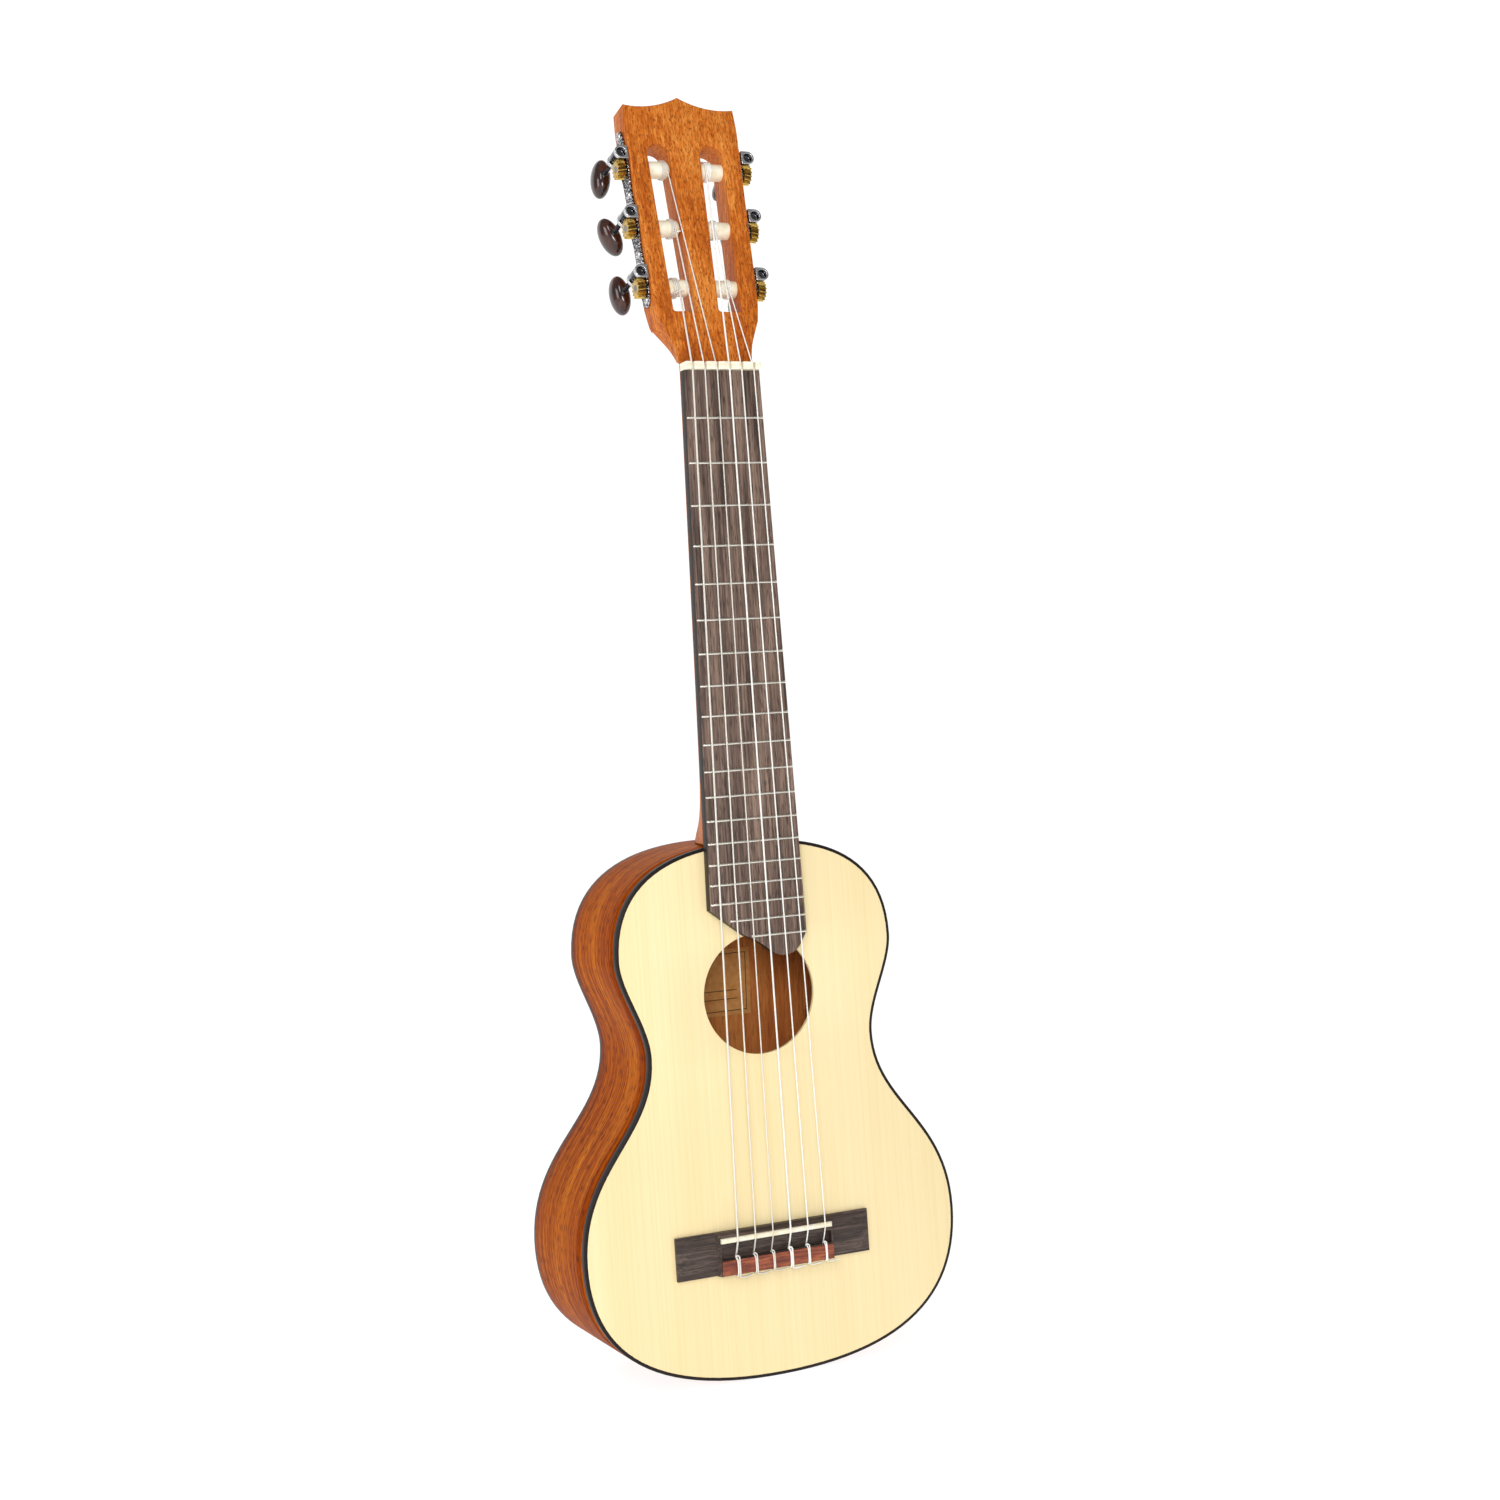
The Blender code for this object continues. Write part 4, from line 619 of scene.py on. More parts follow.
# Polishing leaves scuffs about 1.4 mm long, which break up the highlight.
scuff = add_node(tree, "TexNoise", {"Scale": 700.0, "Detail": 3.0}).outputs["Fac"]
uneven(tree, shader, scuff, gloss=(0.18, 0.36), relief=0.05)
for number in range(1, fret_count + 1):
    z = nut_z - fret_scale * (1 - 2 ** (-number / 12))
    right = board_half(z) - joint_gap
    left = -board_half(z) + joint_gap
    if z < slant_z:
        left += fret_inset + (slant_z - z) * slant_run
    bm = bmesh.new()
    bmesh.ops.create_cone(bm, cap_ends=True, segments=20, radius1=fret_width / 2, radius2=fret_width / 2,
                          depth=right - left)
    rims = [e for e in bm.edges if e.verts[0].co.z * e.verts[1].co.z > 0]
    bmesh.ops.bevel(bm, geom=rims, offset=fret_end, segments=2, profile=0.5, affect="EDGES", material=-1)
    bmesh.ops.rotate(bm, verts=bm.verts, matrix=Matrix.Rotation(pi / 2, 3, "Y"))
    bmesh.ops.scale(bm, verts=bm.verts, vec=(1, 2 * fret_height / fret_width, 1))
    bmesh.ops.translate(bm, verts=bm.verts, vec=((left + right) / 2, face_y - board_gap - board_thickness, z))
    fret = finished(f"fret_{number:02d}", bm, nickel, 50)
    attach(fret, "instrument")


# Nut and saddle: two strips of pale bone, sawn, filed and polished. The nut has a slot for each string and is
# glued at the end of the fingerboard. The saddle stands loose in the bridge's slot, its crest rounded.
bone, tree, shader = new_material("bone_polished", "#F3EBD2", 0.30, coat=0.2)
# Bone is faintly cloudy, in patches of about 3 mm, and a little light passes through its edges.
cloud = add_node(tree, "TexNoise", {"Scale": 320.0, "Detail": 4.0}).outputs["Fac"]
uneven(tree, shader, cloud, ((0.30, "#EDE2C2"), (0.70, "#FCF7E8")), relief=0.05)
shader.inputs["Subsurface Weight"].default_value = 0.15
shader.inputs["Subsurface Radius"].default_value = (0.0010, 0.0008, 0.0005)
nut = softened("nut_finish", "nut", bone, 0.00025)
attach(nut, "instrument")
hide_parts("nut")

saddle_low, saddle_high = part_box("saddle")
saddle_size, saddle_middle = saddle_high - saddle_low, (saddle_high + saddle_low) / 2
crest_share = 0.42              # share of the saddle's thickness that each rounding of its crest takes
bm = bmesh.new()
bmesh.ops.create_cube(bm, size=1.0)
bmesh.ops.scale(bm, verts=bm.verts, vec=saddle_size)
bmesh.ops.translate(bm, verts=bm.verts, vec=saddle_middle)
crest = [e for e in bm.edges if all(v.co.y < saddle_middle.y for v in e.verts)]
bmesh.ops.bevel(bm, geom=crest, offset=saddle_size.z * crest_share, segments=6, profile=0.5, affect="EDGES",
                material=-1)
saddle = finished("saddle_finish", bm, bone, 50)
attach(saddle, "instrument")
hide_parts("saddle")


# Bridge: a bar of dark rosewood, its grain across the instrument, planed to two low hipped wings and a raised
# centre with a slot, a channel and a drilled tie block, and glued on. A redder strip protects the tie block.
bridge_wood = wood("rosewood_waxed", ("#2C221E", "#463831", "#63524A"), "#17100E", fibre=(1.0, 40),
                   band=(4, 60), pore=(0.6, 5), pores=0.60, roughness=0.46, specular=0.4, relief=0.35, along=0)
bridge = softened("bridge_finish", "bridge", bridge_wood, 0.0003)
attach(bridge, "instrument")
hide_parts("bridge")
strip_wood = wood("padauk_waxed", ("#6B2C1A", "#93472B", "#B0603C"), "#4A1E12", fibre=(0.9, 12), band=(5, 18),
                  pore=(0.6, 3), pores=0.55, roughness=0.42, relief=0.2, along=0)
strip = softened("tie_strip_finish", "tie_block_strip", strip_wood, 0.0003)
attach(strip, "instrument")
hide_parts("tie_block_strip")


# Tuner plates: two strips of sheet steel, stamped with leafy scrolls, plated and screwed to the head's sides.
# Each carries three pairs of nickelled ears, bored for the worm shafts, with a curved chrome cover between them, its
# dark colour a painted reflection.
first_roller, roller_pitch, roller_depth, roller_radius = 0.0518, 0.0350, 0.0065, 0.0048
plate_inner, plate_thickness, plate_half = head_half + joint_gap, 0.0010, 0.0062
plate_below, plate_above = 0.0105, 0.0230
gear_teeth, gear_module, gear_width = 14, 0.00072, 0.0046
tooth_rise, tooth_fall, backlash, flank_slope = 0.00064, 0.00078, 0.00034, tan(radians(20))
gear_radius, thread_pitch = gear_teeth * gear_module / 2, pi * gear_module
worm_radius, worm_turns, worm_flange = 0.0031, 3.2, 0.0006
worm_x = plate_inner + plate_thickness + worm_radius + joint_gap
machine_centres = gear_radius + worm_radius - tooth_rise + 0.00012
worm_half = worm_turns * thread_pitch / 2 + worm_flange
ear_width, ear_radius, ear_edge, journal, front_bore = 0.0024, 0.0038, 0.0003, 0.0018, 0.0027
cover_wall, cover_open, cover_edge, cover_drop = 0.0003, radians(20), 0.00005, 0.0001
machines = []                   # string, side of the head, and how far along it the roller lies
for number in range(1, 7):
    side, step = (1, number - 1) if number < 4 else (-1, 6 - number)
    machines.append((number, side, first_roller + step * roller_pitch))

stamped, tree, shader = new_material("steel_stamped_plated", "#A8A8AC", 0.24, metallic=1.0)
# The stamped leaves and scrolls are 2 to 5 mm across, with dark plating left in the hollows.
place = add_node(tree, "TexCoord").outputs["Object"]
warp = add_node(tree, "TexNoise", {"Vector": place, "Scale": 260.0, "Detail": 2.0}).outputs["Color"]
bent = add_node(tree, "Mix", {0: 0.006, 6: place, 7: warp}, data_type="RGBA", blend_type="ADD").outputs[2]
leaf = add_node(tree, "TexVoronoi", {"Vector": bent, "Scale": 420.0}, feature="SMOOTH_F1").outputs["Distance"]
curl = add_node(tree, "TexWave", {"Vector": bent, "Scale": 170.0, "Distortion": 6.0, "Detail": 1.0},
                wave_type="RINGS").outputs["Fac"]
scrolls = add_node(tree, "Math", {0: leaf, 1: curl}, operation="MULTIPLY").outputs["Value"]
uneven(tree, shader, scrolls, ((0.05, "#26262A"), (0.48, "#DCDCE0"), (0.22, "#8E8E94")), relief=0.9,
       height=0.0004)
# Painted reflection: the chrome's base colour is made near black to stand in for a dark room reflected in it.
chrome_dark_reflection, tree, shader = new_material("steel_chrome_painted_dark_reflection", "#36363B", 0.20, metallic=1.0, coat=1.0)
# Chrome is mirror smooth, with finger marks about 4 mm across. Its near-black colour is a painted reflection of dark
# surroundings.
smudge = add_node(tree, "TexNoise", {"Scale": 250.0, "Detail": 3.0}).outputs["Fac"]
uneven(tree, shader, smudge, ((0.30, "#1E1E22"), (0.70, "#54545B")), gloss=(0.10, 0.26))
screw_metal, tree, shader = new_material("steel_nickel_plated", "#D0D0D2", 0.22, metallic=1.0)
# The screwdriver leaves scratches about 1.2 mm long.
wear = add_node(tree, "TexNoise", {"Scale": 800.0, "Detail": 2.0}).outputs["Fac"]
uneven(tree, shader, wear, gloss=(0.15, 0.35))


def spun(bm, profile, seat, segments=40):
    """Turns a profile of (length, radius) points about its axis, and puts it in place with seat(length, a, b)."""
    verts = [bm.verts.new((length, radius, 0.0)) for length, radius in profile]
    edges = [bm.edges.new(pair) for pair in zip(verts, verts[1:])]
    before = set(bm.verts) - set(verts)
    bmesh.ops.spin(bm, geom=verts + edges, cent=(0, 0, 0), axis=(1, 0, 0), dvec=(0, 0, 0), angle=2 * pi,
                   steps=segments, use_merge=True, use_normal_flip=False, use_duplicate=False)
    for vert in set(bm.verts) - before:
        vert.co = seat(*vert.co)


screw_radius, screw_dome, recess = 0.0024, 0.0012, 0.0006
screw_rim = 0.25                # share of the dome's height that is an upright rim
cross_arms = ((0.62, 0.14), (0.14, 0.62))
lowest_screw, screw_above = first_roller - 0.0062, 0.0205
plate_edge, scallop_depth = 0.0002, 0.14
tip_half, tip_roundness = 0.25, 16      # half width of the plate's two tips, and how blunt they are
face_out = plate_inner + plate_thickness
for word, side in (("bass", -1), ("treble", 1)):
    low, high = first_roller - plate_below, first_roller + 2 * roller_pitch + plate_above
    middle = head_thickness / 2
    steps, edge = 90, []
    for k in range(steps + 1):
        length = low + (high - low) * k / steps
        wave = cos(2 * pi * (length - first_roller - machine_centres / 2) / roller_pitch)
        scallop = 1 - scallop_depth + scallop_depth * wave
        round_end = tip_half + (1 - tip_half) * sqrt(max(0.0, 1 - (2 * k / steps - 1) ** tip_roundness))
        edge.append((plate_half * scallop * round_end, length))
    outline = [(middle + d, z) for d, z in edge] + [(middle - d, z) for d, z in reversed(edge)]
    plate = board("plate_" + word, [outline], plate_thickness, plate_edge, stamped,
                  lambda depth, out, length: on_side(side, face_out - out, depth, length))
    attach(plate, "instrument")
    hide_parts("tuner_plate_" + word)
    for number in [row[0] for row in machines if row[1] == side]:
        axis = machines[number - 1][2] + machine_centres
        seat = lambda out, depth, up: on_side(side, out, depth, axis + up)
        foot = plate_inner + plate_thickness / 2
        around = [pi * k / 24 for k in range(25)]
        ear = [(foot, -ear_radius), (foot, ear_radius)]
        ear += [(worm_x + ear_radius * sin(a), ear_radius * cos(a)) for a in around]
        for end, start, open_radius in (
            ("front", roller_depth - worm_half - joint_gap - ear_width, front_bore),
            ("rear", roller_depth + worm_half + joint_gap, journal + joint_gap),
        ):
            bore = [(worm_x + open_radius * sin(2 * a), open_radius * cos(2 * a)) for a in around[:-1]]
            piece = board(f"ear_{end}_{number}", [ear, bore], ear_width, ear_edge, screw_metal,
                          lambda out, depth, up: seat(out, start + depth, up))
            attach(piece, "instrument")
        turns = [-cover_open + (pi + cover_open) * k / 20 for k in range(21)]
        outer = ear_radius - cover_drop
        arc = [(worm_x + outer * cos(a), outer * sin(a)) for a in turns]
        arc += [(worm_x + (outer - cover_wall) * cos(a), (outer - cover_wall) * sin(a)) for a in reversed(turns)]
        reach = worm_half + joint_gap
        cover = board(f"cover_{number}", [arc], 2 * reach, cover_edge, chrome_dark_reflection,
                      lambda out, depth, up: seat(out, roller_depth - reach + depth, up))
        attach(cover, "instrument")
    spots = [lowest_screw] + [first_roller + roller_pitch * k + screw_above for k in range(3)]
    for count, length in enumerate(spots):
        seat = lambda out, a, b: on_side(side, face_out - joint_gap + out, middle + a, length + b)
        dome = [(0.0, 0.0), (0.0, screw_radius), (screw_dome * screw_rim, screw_radius)]
        dome += [(screw_dome * (screw_rim + (1 - screw_rim) * sin(a)), screw_radius * cos(a))
                 for a in [pi / 2 * k / 7 for k in range(1, 8)]]
        bm = bmesh.new()
        spun(bm, dome, seat, 32)
        screw = finished(f"plate_screw_{word}_{count}", bm, screw_metal, 40)
        for long, short in cross_arms:
            bm = bmesh.new()
            corners = bmesh.ops.create_cube(bm, size=2.0)["verts"]
            for vert in corners:
                out, a, b = vert.co
                vert.co = seat(screw_dome + out * recess, a * long * screw_radius, b * short * screw_radius)
            tool = finished("screwdriver_tip", bm, screw_metal)
            cut = screw.modifiers.new("cross", "BOOLEAN")
            cut.object = tool
            cut.operation = "DIFFERENCE"
            mesh = bpy.data.meshes.new_from_object(screw.evaluated_get(bpy.context.evaluated_depsgraph_get()))
            screw.modifiers.clear()
            screw.data = mesh
            bpy.data.objects.remove(tool, do_unlink=True)
        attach(screw, "instrument")


# Rollers: pale plastic sleeves moulded on steel axles, which run right through the head's cheeks.
# They are rounded at their inner end, where a pin turns in the head's middle bar.
sleeve, tree, shader = new_material("ivory_plastic_moulded", "#EFE6CC", 0.35, coat=0.1)
# Moulded plastic has faint flow clouds, about 4 mm across.
flow = add_node(tree, "TexNoise", {"Scale": 240.0, "Detail": 3.0}).outputs["Fac"]
uneven(tree, shader, flow, ((0.30, "#E9DDBB"), (0.70, "#FAF4E2")), relief=0.05)
shader.inputs["Subsurface Weight"].default_value = 0.2
shader.inputs["Subsurface Radius"].default_value = (0.0012, 0.0009, 0.0006)
pin_radius, pin_length, axle_radius, spacer_radius = 0.0025, 0.0040, 0.0020, 0.0032
nose_start, nose_length, nose_radius = slot_inner + 0.0004, 0.0022, 0.0028
roller_end, end_edge = head_half - 0.0003, 0.0002
axle_start, collar = head_half - 0.0004, face_out + joint_gap
gear_inner, axle_end = worm_x - gear_width / 2 - joint_gap, worm_x + gear_width / 2
pin_end = slot_inner - pin_length
for number, side, roller in machines:
    seat = lambda out, a, b: on_side(side, out, roller_depth + a, roller + b)
    nose = [(nose_start + nose_length * (1 - cos(a)), nose_radius + (roller_radius - nose_radius) * sin(a))
            for a in [pi / 2 * k / 8 for k in range(9)]]
    bm = bmesh.new()
    spun(bm, [(pin_end, 0.0), (pin_end, pin_radius), (slot_inner + joint_gap, pin_radius)] + nose
         + [(roller_end - end_edge, roller_radius), (roller_end, roller_radius - end_edge), (roller_end, 0.0)],
         seat, 48)
    piece = finished(f"roller_finish_{number}", bm, sleeve, 40)
    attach(piece, f"post_{number}")
    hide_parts(f"roller_{number}")
    bm = bmesh.new()
    spun(bm, [(axle_start, 0.0), (axle_start, axle_radius), (collar, axle_radius), (collar, spacer_radius),
              (gear_inner, spacer_radius), (gear_inner, axle_radius), (axle_end, axle_radius), (axle_end, 0.0)],
         seat, 32)
    axle = finished(f"axle_finish_{number}", bm, chrome_dark_reflection, 40)
    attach(axle, f"post_{number}")
    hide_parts(f"roller_{number}")


# Gears: turned brass wheels with coarse milled teeth, pressed on the axles.
# The teeth slant by the worm's lead, so the two stay in mesh as they turn.
tooth_gap_shade, tree, shader = new_material("brass_painted_shade", "#3A2C12", 0.45, metallic=0.6)
# Painted shade: a dark brass for the faces low between the teeth, in patches of about 2 mm.
patchy = add_node(tree, "TexNoise", {"Scale": 500.0, "Detail": 3.0}).outputs["Fac"]
uneven(tree, shader, patchy, ((0.30, "#1E160A"), (0.70, "#5A4520")))
brass, tree, shader = new_material("brass_milled", "#C9A04A", 0.28, metallic=1.0)
# The cutter leaves marks about 1 mm apart on each face.
mill = add_node(tree, "TexNoise", {"Scale": 900.0, "Detail": 3.0}).outputs["Fac"]
uneven(tree, shader, mill, ((0.30, "#A87F30"), (0.70, "#E8C770")), gloss=(0.18, 0.40))
root, tip = gear_radius - tooth_fall, gear_radius + tooth_rise
tooth_thick = thread_pitch / 2 - backlash
tip_thick, root_thick = tooth_thick / 2 - flank_slope * tooth_rise, tooth_thick / 2 + flank_slope * tooth_fall
lead_slope = thread_pitch / (2 * pi * (worm_radius - tooth_rise))
tooth_edge, painted_shade_depth = 0.00012, 0.0005      # the teeth's rounding, and how far up their flanks the painted shade reaches
for number, side, roller in machines:
    outline = []
    for tooth in range(gear_teeth):
        centre = (tooth + 0.5) * 2 * pi / gear_teeth
        for half, radius in ((-root_thick, root), (-tip_thick, tip), (tip_thick, tip), (root_thick, root)):
            outline.append((radius * sin(centre + half / radius), radius * cos(centre + half / radius)))
    bore = [(axle_radius * sin(a), axle_radius * cos(a)) for a in [2 * pi * k / 24 for k in range(24)]]

    def gear_place(across, depth, up):
        """Twists the wheel along its width by the worm's lead."""
        out = depth - gear_width / 2
        lean = -lead_slope * out / gear_radius
        return on_side(side, worm_x + out, roller_depth + across * cos(lean) + up * sin(lean),
                       roller + up * cos(lean) - across * sin(lean))

    gear = board(f"gear_finish_{number}", [outline, bore], gear_width, tooth_edge, brass, gear_place, 30)
    # The faces low between the teeth take the dark brass as painted shade, where the teeth shade each other.
    gear.data.materials.append(tooth_gap_shade)
    hub, axis = Vector(on_side(side, worm_x, roller_depth, roller)), outward(side)
    for face in gear.data.polygons:
        spoke = face.center - hub
        spoke -= axis * spoke.dot(axis)
        if abs(face.normal.dot(axis)) < 0.5 and spoke.length < root + painted_shade_depth:
            face.material_index = 1
    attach(gear, f"post_{number}")
    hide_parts(f"gear_{number}")


# Worm shafts: steel bar turned down to two journals, a screw thread, a round collar and a slim stem.
# They are chrome plated, turn in the ears and carry the buttons; their dark colour is a painted reflection.
core = worm_radius - tooth_rise - tooth_fall
stem_radius, button_depth, collar_radius, collar_length = 0.0016, 0.0350, 0.0026, 0.0026
thread_steps = 24
for number, side, roller in machines:
    axis = roller + machine_centres
    seat = lambda along, a, b: on_side(side, worm_x + a, roller_depth + along, axis + b)
    ear_end = worm_half + joint_gap + ear_width
    stem_end = button_depth - roller_depth + 0.0010
    inner_end, flange = worm_half - worm_flange, core + worm_flange
    behind = ear_end + collar_length
    bm = bmesh.new()
    spun(bm, [(0.0022 - ear_end, 0.0), (0.0022 - ear_end, journal), (-worm_half, journal), (-worm_half, flange),
              (-inner_end, core), (inner_end, core), (worm_half, flange), (worm_half, journal),
              (ear_end + joint_gap, journal), (ear_end + joint_gap, collar_radius - 0.0002),
              (ear_end + 0.0005, collar_radius), (behind - 0.0004, collar_radius),
              (behind, collar_radius - 0.0003), (behind + 0.0010, stem_radius), (stem_end - 0.0090, stem_radius),
              (stem_end - 0.0086, stem_radius + 0.0005), (stem_end - 0.0078, stem_radius + 0.0005),
              (stem_end - 0.0074, stem_radius), (stem_end, stem_radius), (stem_end, 0.0)], seat, 32)
    base = tooth_thick / 2 + flank_slope * (tooth_fall + 0.0002)
    start = -thread_pitch * worm_turns / 2
    corners = [(start - base, core - 0.0002), (start - tip_thick, worm_radius), (start + tip_thick, worm_radius),
               (start + base, core - 0.0002)]
    before = set(bm.verts)
    first = pi + 2 * pi * -worm_turns / 2
    ring = [bm.verts.new((along, radius * sin(first) * side, radius * cos(first))) for along, radius in corners]
    thread = bm.faces.new(ring)
    count = int(worm_turns * thread_steps)
    bmesh.ops.spin(bm, geom=[thread], cent=(0, 0, 0), axis=(-side, 0, 0), angle=2 * pi * worm_turns,
                   dvec=(thread_pitch * worm_turns / count, 0, 0), steps=count, use_merge=False,
                   use_normal_flip=False, use_duplicate=False)
    for vert in set(bm.verts) - before:
        along, a, b = vert.co
        vert.co = seat(along, side * a, b)
    shaft = finished(f"worm_shaft_finish_{number}", bm, chrome_dark_reflection, 40)
    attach(shaft, f"key_{number}")
    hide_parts(f"worm_shaft_{number}")


# Buttons: flat oval keys of dark brown plastic, moulded on the ends of the worm shafts and tumbled to a gloss.
# Each was left at its own angle when its string was last tuned.
button_long, button_wide, button_thick = 0.0226, 0.0152, 0.0106
button_turns = {1: 20, 2: -15, 3: 35, 4: 8, 5: -20, 6: -6}
flatness = 0.28                 # how much flatter than an ellipsoid each button's two faces are
button_look, tree, shader = new_material("marbled_plastic_tumbled", "#3A1E18", 0.16, coat=0.3)
# The marbling swirls are about 8 mm across, dark brown through reddish brown.
swirl = add_node(tree, "TexNoise", {"Scale": 130.0, "Detail": 4.0, "Distortion": 1.2}).outputs["Fac"]
uneven(tree, shader, swirl, ((0.30, "#160806"), (0.72, "#4E2415"), (0.50, "#2C120B")), relief=0.04, height=0.0002)
for number, side, roller in machines:
    lean = Matrix.Rotation(radians(button_turns[number]), 3, "Y")
    bm = bmesh.new()
    bmesh.ops.create_uvsphere(bm, u_segments=40, v_segments=26, radius=1.0)
    bmesh.ops.rotate(bm, verts=bm.verts, matrix=Matrix.Rotation(pi / 2, 3, "X"))
    for vert in bm.verts:
        radial = hypot(vert.co.x, vert.co.z)
        fuller = radial ** -flatness if radial > 0.01 else 1.0
        across, up = vert.co.x * fuller * button_thick / 2, vert.co.z * fuller * button_long / 2
        x, along, z = lean @ Vector((across, vert.co.y * button_wide / 2, up))
        vert.co = on_side(side, worm_x + side * x, button_depth + along, roller + machine_centres + z)
    button = finished(f"button_finish_{number}", bm, button_look, 60)
    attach(button, f"key_{number}")
    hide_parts(f"button_{number}")


# Strings: three of clear nylon and three of nylon floss wound with fine silvery wire.
# Each is drawn through its hole in the tie block, looped back and twisted round itself, laid over the saddle
# and the nut, and wound round its roller, where a short end is left.
gauges = {1: 0.00070, 2: 0.00080, 3: 0.00100, 4: 0.00074, 5: 0.00088, 6: 0.00108}
winding_starts = {1: 0.0158, 2: 0.0120, 3: 0.0110, 4: 0.0110, 5: 0.0120, 6: 0.0158}
turns_round = {1: 2.8, 2: 2.8, 3: 3.2, 4: 3.2, 5: 2.8, 6: 2.8}
turn_steps, turn_gap, roller_gap = 28, 0.00005, 0.0001
nut_spread, saddle_spread, action = 0.0365, 0.0528, 0.0007
middle_string = 3.5             # the middle line lies between the third string and the fourth
strip_front, tail_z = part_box("tie_block_strip")[0].y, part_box("bridge")[0].z
tie_y, tie_top = face_y - 0.0042, tail_z + 0.0088
nylon, tree, shader = new_material("clear_nylon_drawn", "#F4F2EC", 0.22, coat=0.3)
# Drawn nylon is hazy in patches of about 2.5 mm, and light passes through it.
haze = add_node(tree, "TexNoise", {"Scale": 400.0, "Detail": 2.0}).outputs["Fac"]
uneven(tree, shader, haze, ((0.30, "#ECEAE2"), (0.70, "#FBFAF6")))
shader.inputs["Subsurface Weight"].default_value = 0.1
shader.inputs["Subsurface Radius"].default_value = (0.0004, 0.0004, 0.0004)
wound, tree, shader = new_material("silvered_copper_wire", "#E4DFD6", 0.34, metallic=0.40)
# The wire is about 0.26 mm thick, and its turns lie side by side, that far apart.
wire = add_node(tree, "TexWave", {"Scale": 1200.0}, wave_type="BANDS", bands_direction="Z").outputs["Fac"]
uneven(tree, shader, wire, ((0.0, "#CFC9BE"), (0.5, "#F7F3EA")), relief=0.5)


def eased(points, steps):
    """Rounds a route off: a smooth curve through its points."""
    route = []
    for i in range(len(points) - 1):
        before, here = Vector(points[max(0, i - 1)]), Vector(points[i])
        there, after = Vector(points[i + 1]), Vector(points[min(len(points) - 1, i + 2)])
        route += bezier(here, here + (there - before) / 6, there - (after - here) / 6, there, steps)
    return route + [tuple(points[-1])]


for number, side, roller in machines:
    gauge = gauges[number]
    half = gauge / 2
    bridge_x, nut_x = [spread * (middle_string - number) / 5 for spread in (saddle_spread, nut_spread)]
    nut_y = face_y - board_gap - board_thickness - fret_height - action - half
    over, crest_y = strip_front - half, saddle_low.y - half
    near, far = tail_z - half - 0.0002, tie_top + half
    # The loose end, from its tip: up along the tie block, round the string above it, and down again to the hole.
    loop = [(bridge_x + 0.0085, face_y - 0.0058, near - half), (bridge_x + 0.0045, face_y - 0.0062, near - 2 * half),
            (bridge_x + 0.0012, face_y - 0.0066, near - half), (bridge_x + half, over, tail_z + 0.0012),
            (bridge_x + half, over, tie_top - 0.0014), (bridge_x + half, over + 0.0006, far + 0.0006),
            (bridge_x - 2 * half, over + 0.0012, far + 0.0012), (bridge_x - 2 * half, over + 0.0004, far + 0.0002),
            (bridge_x - half, over, tie_top - 0.0014), (bridge_x - half, over, tail_z + 0.0012),
            (bridge_x - half, face_y - 0.0066, near), (bridge_x, tie_y, tail_z - half)]
    centre_y, centre_z = on_side(side, winding_starts[number], roller_depth, roller)[1:]
    across, up = centre_y - nut_y, centre_z - (nut_z + joint_gap)
    radius = roller_radius + half + roller_gap
    begin = atan2(across, up) - asin(radius / hypot(across, up)) - head_pitch
    coil = []
    for k in range(int(turns_round[number] * turn_steps) + 1):
        share = k / turn_steps
        turn, out = begin + 2 * pi * share, winding_starts[number] + (gauge + turn_gap) * share
        coil.append(on_side(side, out, roller_depth - radius * cos(turn), roller + radius * sin(turn)))
    last = Vector(coil[-1])
    away = (last - Vector(coil[-2])).normalized()
    drift = outward(side)
    # The short end springs away from the roller, and curls towards the head's middle.
    tail = [last, last + away * 0.0020 - drift * 0.0008, last + away * 0.0038 - drift * 0.0026,
            last + away * 0.0050 - drift * 0.0050]
    points = eased(loop, 5) + [(bridge_x, tie_y, tie_top)]
    points += bezier((bridge_x, tie_y - 0.0002, tie_top + 0.0006), (bridge_x, face_y - 0.0060, tie_top + 0.0030),
                     (bridge_x, crest_y + 0.0006, saddle_middle.z - 0.0016), (bridge_x, crest_y, saddle_middle.z), 8)
    points += [(bridge_x, crest_y, saddle_middle.z), (nut_x, nut_y, nut_z + joint_gap)] + coil + eased(tail, 5)[1:]
    cord = bpy.data.curves.new(f"string_finish_{number}", "CURVE")
    cord.dimensions = "3D"
    cord.bevel_depth = half
    cord.bevel_resolution = 4
    cord.use_fill_caps = True
    spline = cord.splines.new("POLY")
    spline.points.add(len(points) - 1)
    for point, spot in zip(spline.points, points):
        point.co = (*spot, 1)
    cord.materials.append(nylon if number < 4 else wound)
    string = bpy.data.objects.new(f"string_finish_{number}", cord)
    bpy.context.collection.objects.link(string)
    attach(string, "instrument")
    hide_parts(f"string_{number}")


# Studio: a pale sweep that curves up behind, a soft key light from the upper left, a broad light beside the
# camera that reaches into the sound hole, and a side light along the ribs. The camera looks level from the left.
camera_data = bpy.data.cameras.new("camera")
camera_data.lens = 53.68
camera_data.sensor_width = 36.0
camera = bpy.data.objects.new("camera", camera_data)
camera.location = (-0.4959, -1.1643, 0.3466)
camera.rotation_euler = (radians(89.852), radians(3.835), radians(-23.993))
bpy.context.collection.objects.link(camera)
bpy.context.scene.camera = camera
bpy.context.scene.view_settings.view_transform = "Standard"

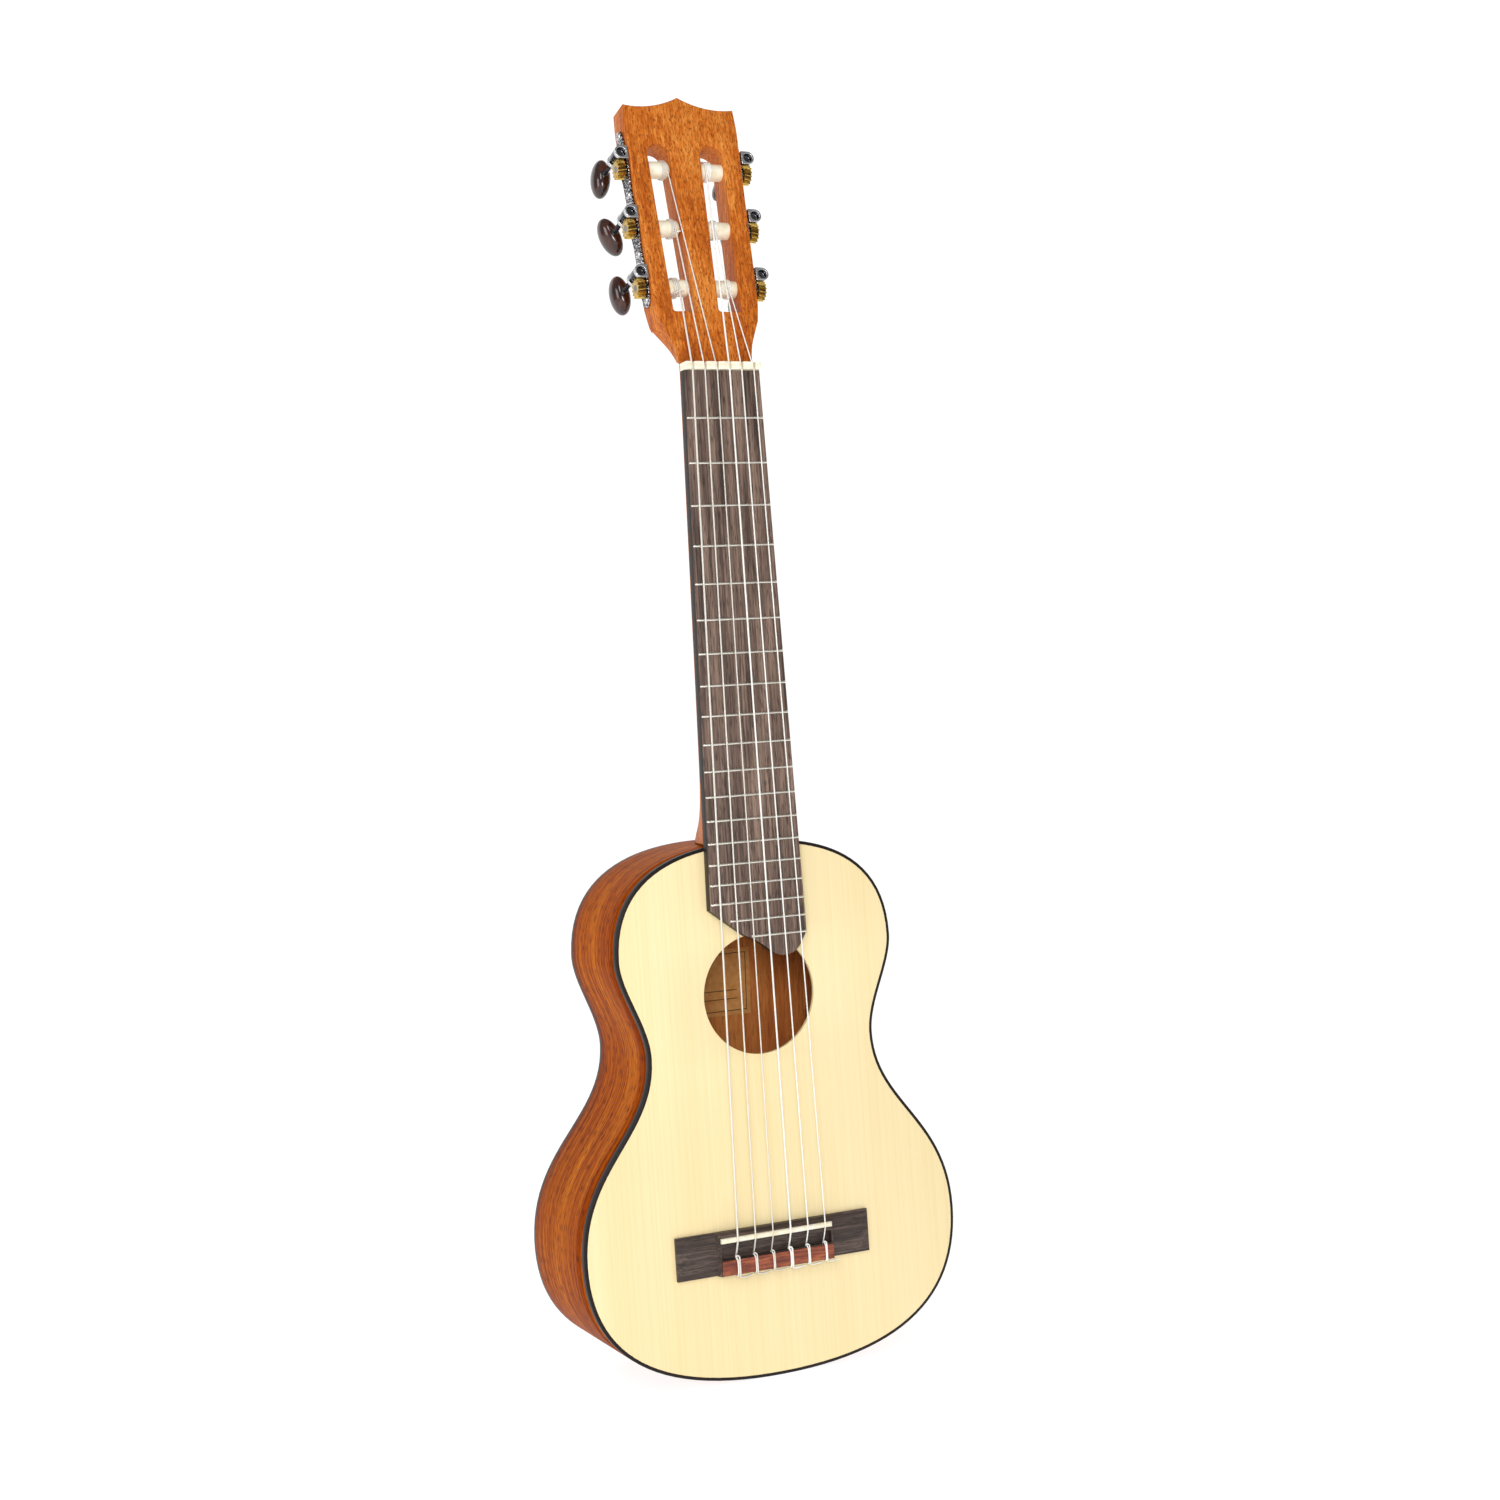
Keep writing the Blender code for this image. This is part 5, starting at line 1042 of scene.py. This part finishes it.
sweep_sheet, tree, shader = new_material("opal_acrylic_sheet", "#949494", 0.9, specular=0.1)
# Opal acrylic lit from behind passes light evenly, so it is white. Its matt face is uneven over about 5 mm.
peel = add_node(tree, "TexNoise", {"Scale": 200.0, "Detail": 2.0}).outputs["Fac"]
uneven(tree, shader, peel, gloss=(0.85, 0.95))
shader.inputs["Emission Color"].default_value = linear("#FFFFFF")
shader.inputs["Emission Strength"].default_value = 0.88
sweep_half, sweep_front, sweep_back, sweep_radius, sweep_top = 7.0, 6.0, 2.0, 1.0, 5.0
bm = bmesh.new()
front = [bm.verts.new((x, -sweep_front, 0.0)) for x in (-sweep_half, sweep_half)]
edges = [bm.edges.new(front)]
turns = [pi / 2 * k / 12 for k in range(13)]
bend = [(sweep_back + sweep_radius * sin(a), sweep_radius * (1 - cos(a))) for a in turns]
for y, z in bend + [(sweep_back + sweep_radius, sweep_top)]:
    fresh, edges = next_row(bm, edges)
    for vert in fresh:
        vert.co.y, vert.co.z = y, z
bmesh.ops.rotate(bm, verts=bm.verts, matrix=Matrix.Rotation(camera.rotation_euler.z, 3, "Z"))
sweep = finished("sweep", bm, sweep_sheet, 180)

world = bpy.data.worlds.new("studio")
world.use_nodes = True
tree = world.node_tree
background = tree.nodes["Background"]
background.inputs["Color"].default_value = linear("#FFFFFF")
background.inputs["Strength"].default_value = 0.30
bpy.context.scene.world = world
for name, spot, aim, size, power in (
    ("key", (-1.3, -1.7, 1.9), (0.0, 0.0, 0.35), 0.7, 11.0),
    ("front", (-0.62, -1.48, 0.60), (0.0, 0.0, 0.28), 0.5, 11.0),
    ("side", (-2.2, -0.1, 0.9), (0.0, 0.0, 0.20), 1.0, 12.0),
):
    lamp_data = bpy.data.lights.new(name, "AREA")
    lamp_data.size = size
    lamp_data.energy = power
    lamp = bpy.data.objects.new(name, lamp_data)
    lamp.location = spot
    lamp.rotation_euler = (Vector(aim) - Vector(spot)).to_track_quat("-Z", "Y").to_euler()
    bpy.context.collection.objects.link(lamp)
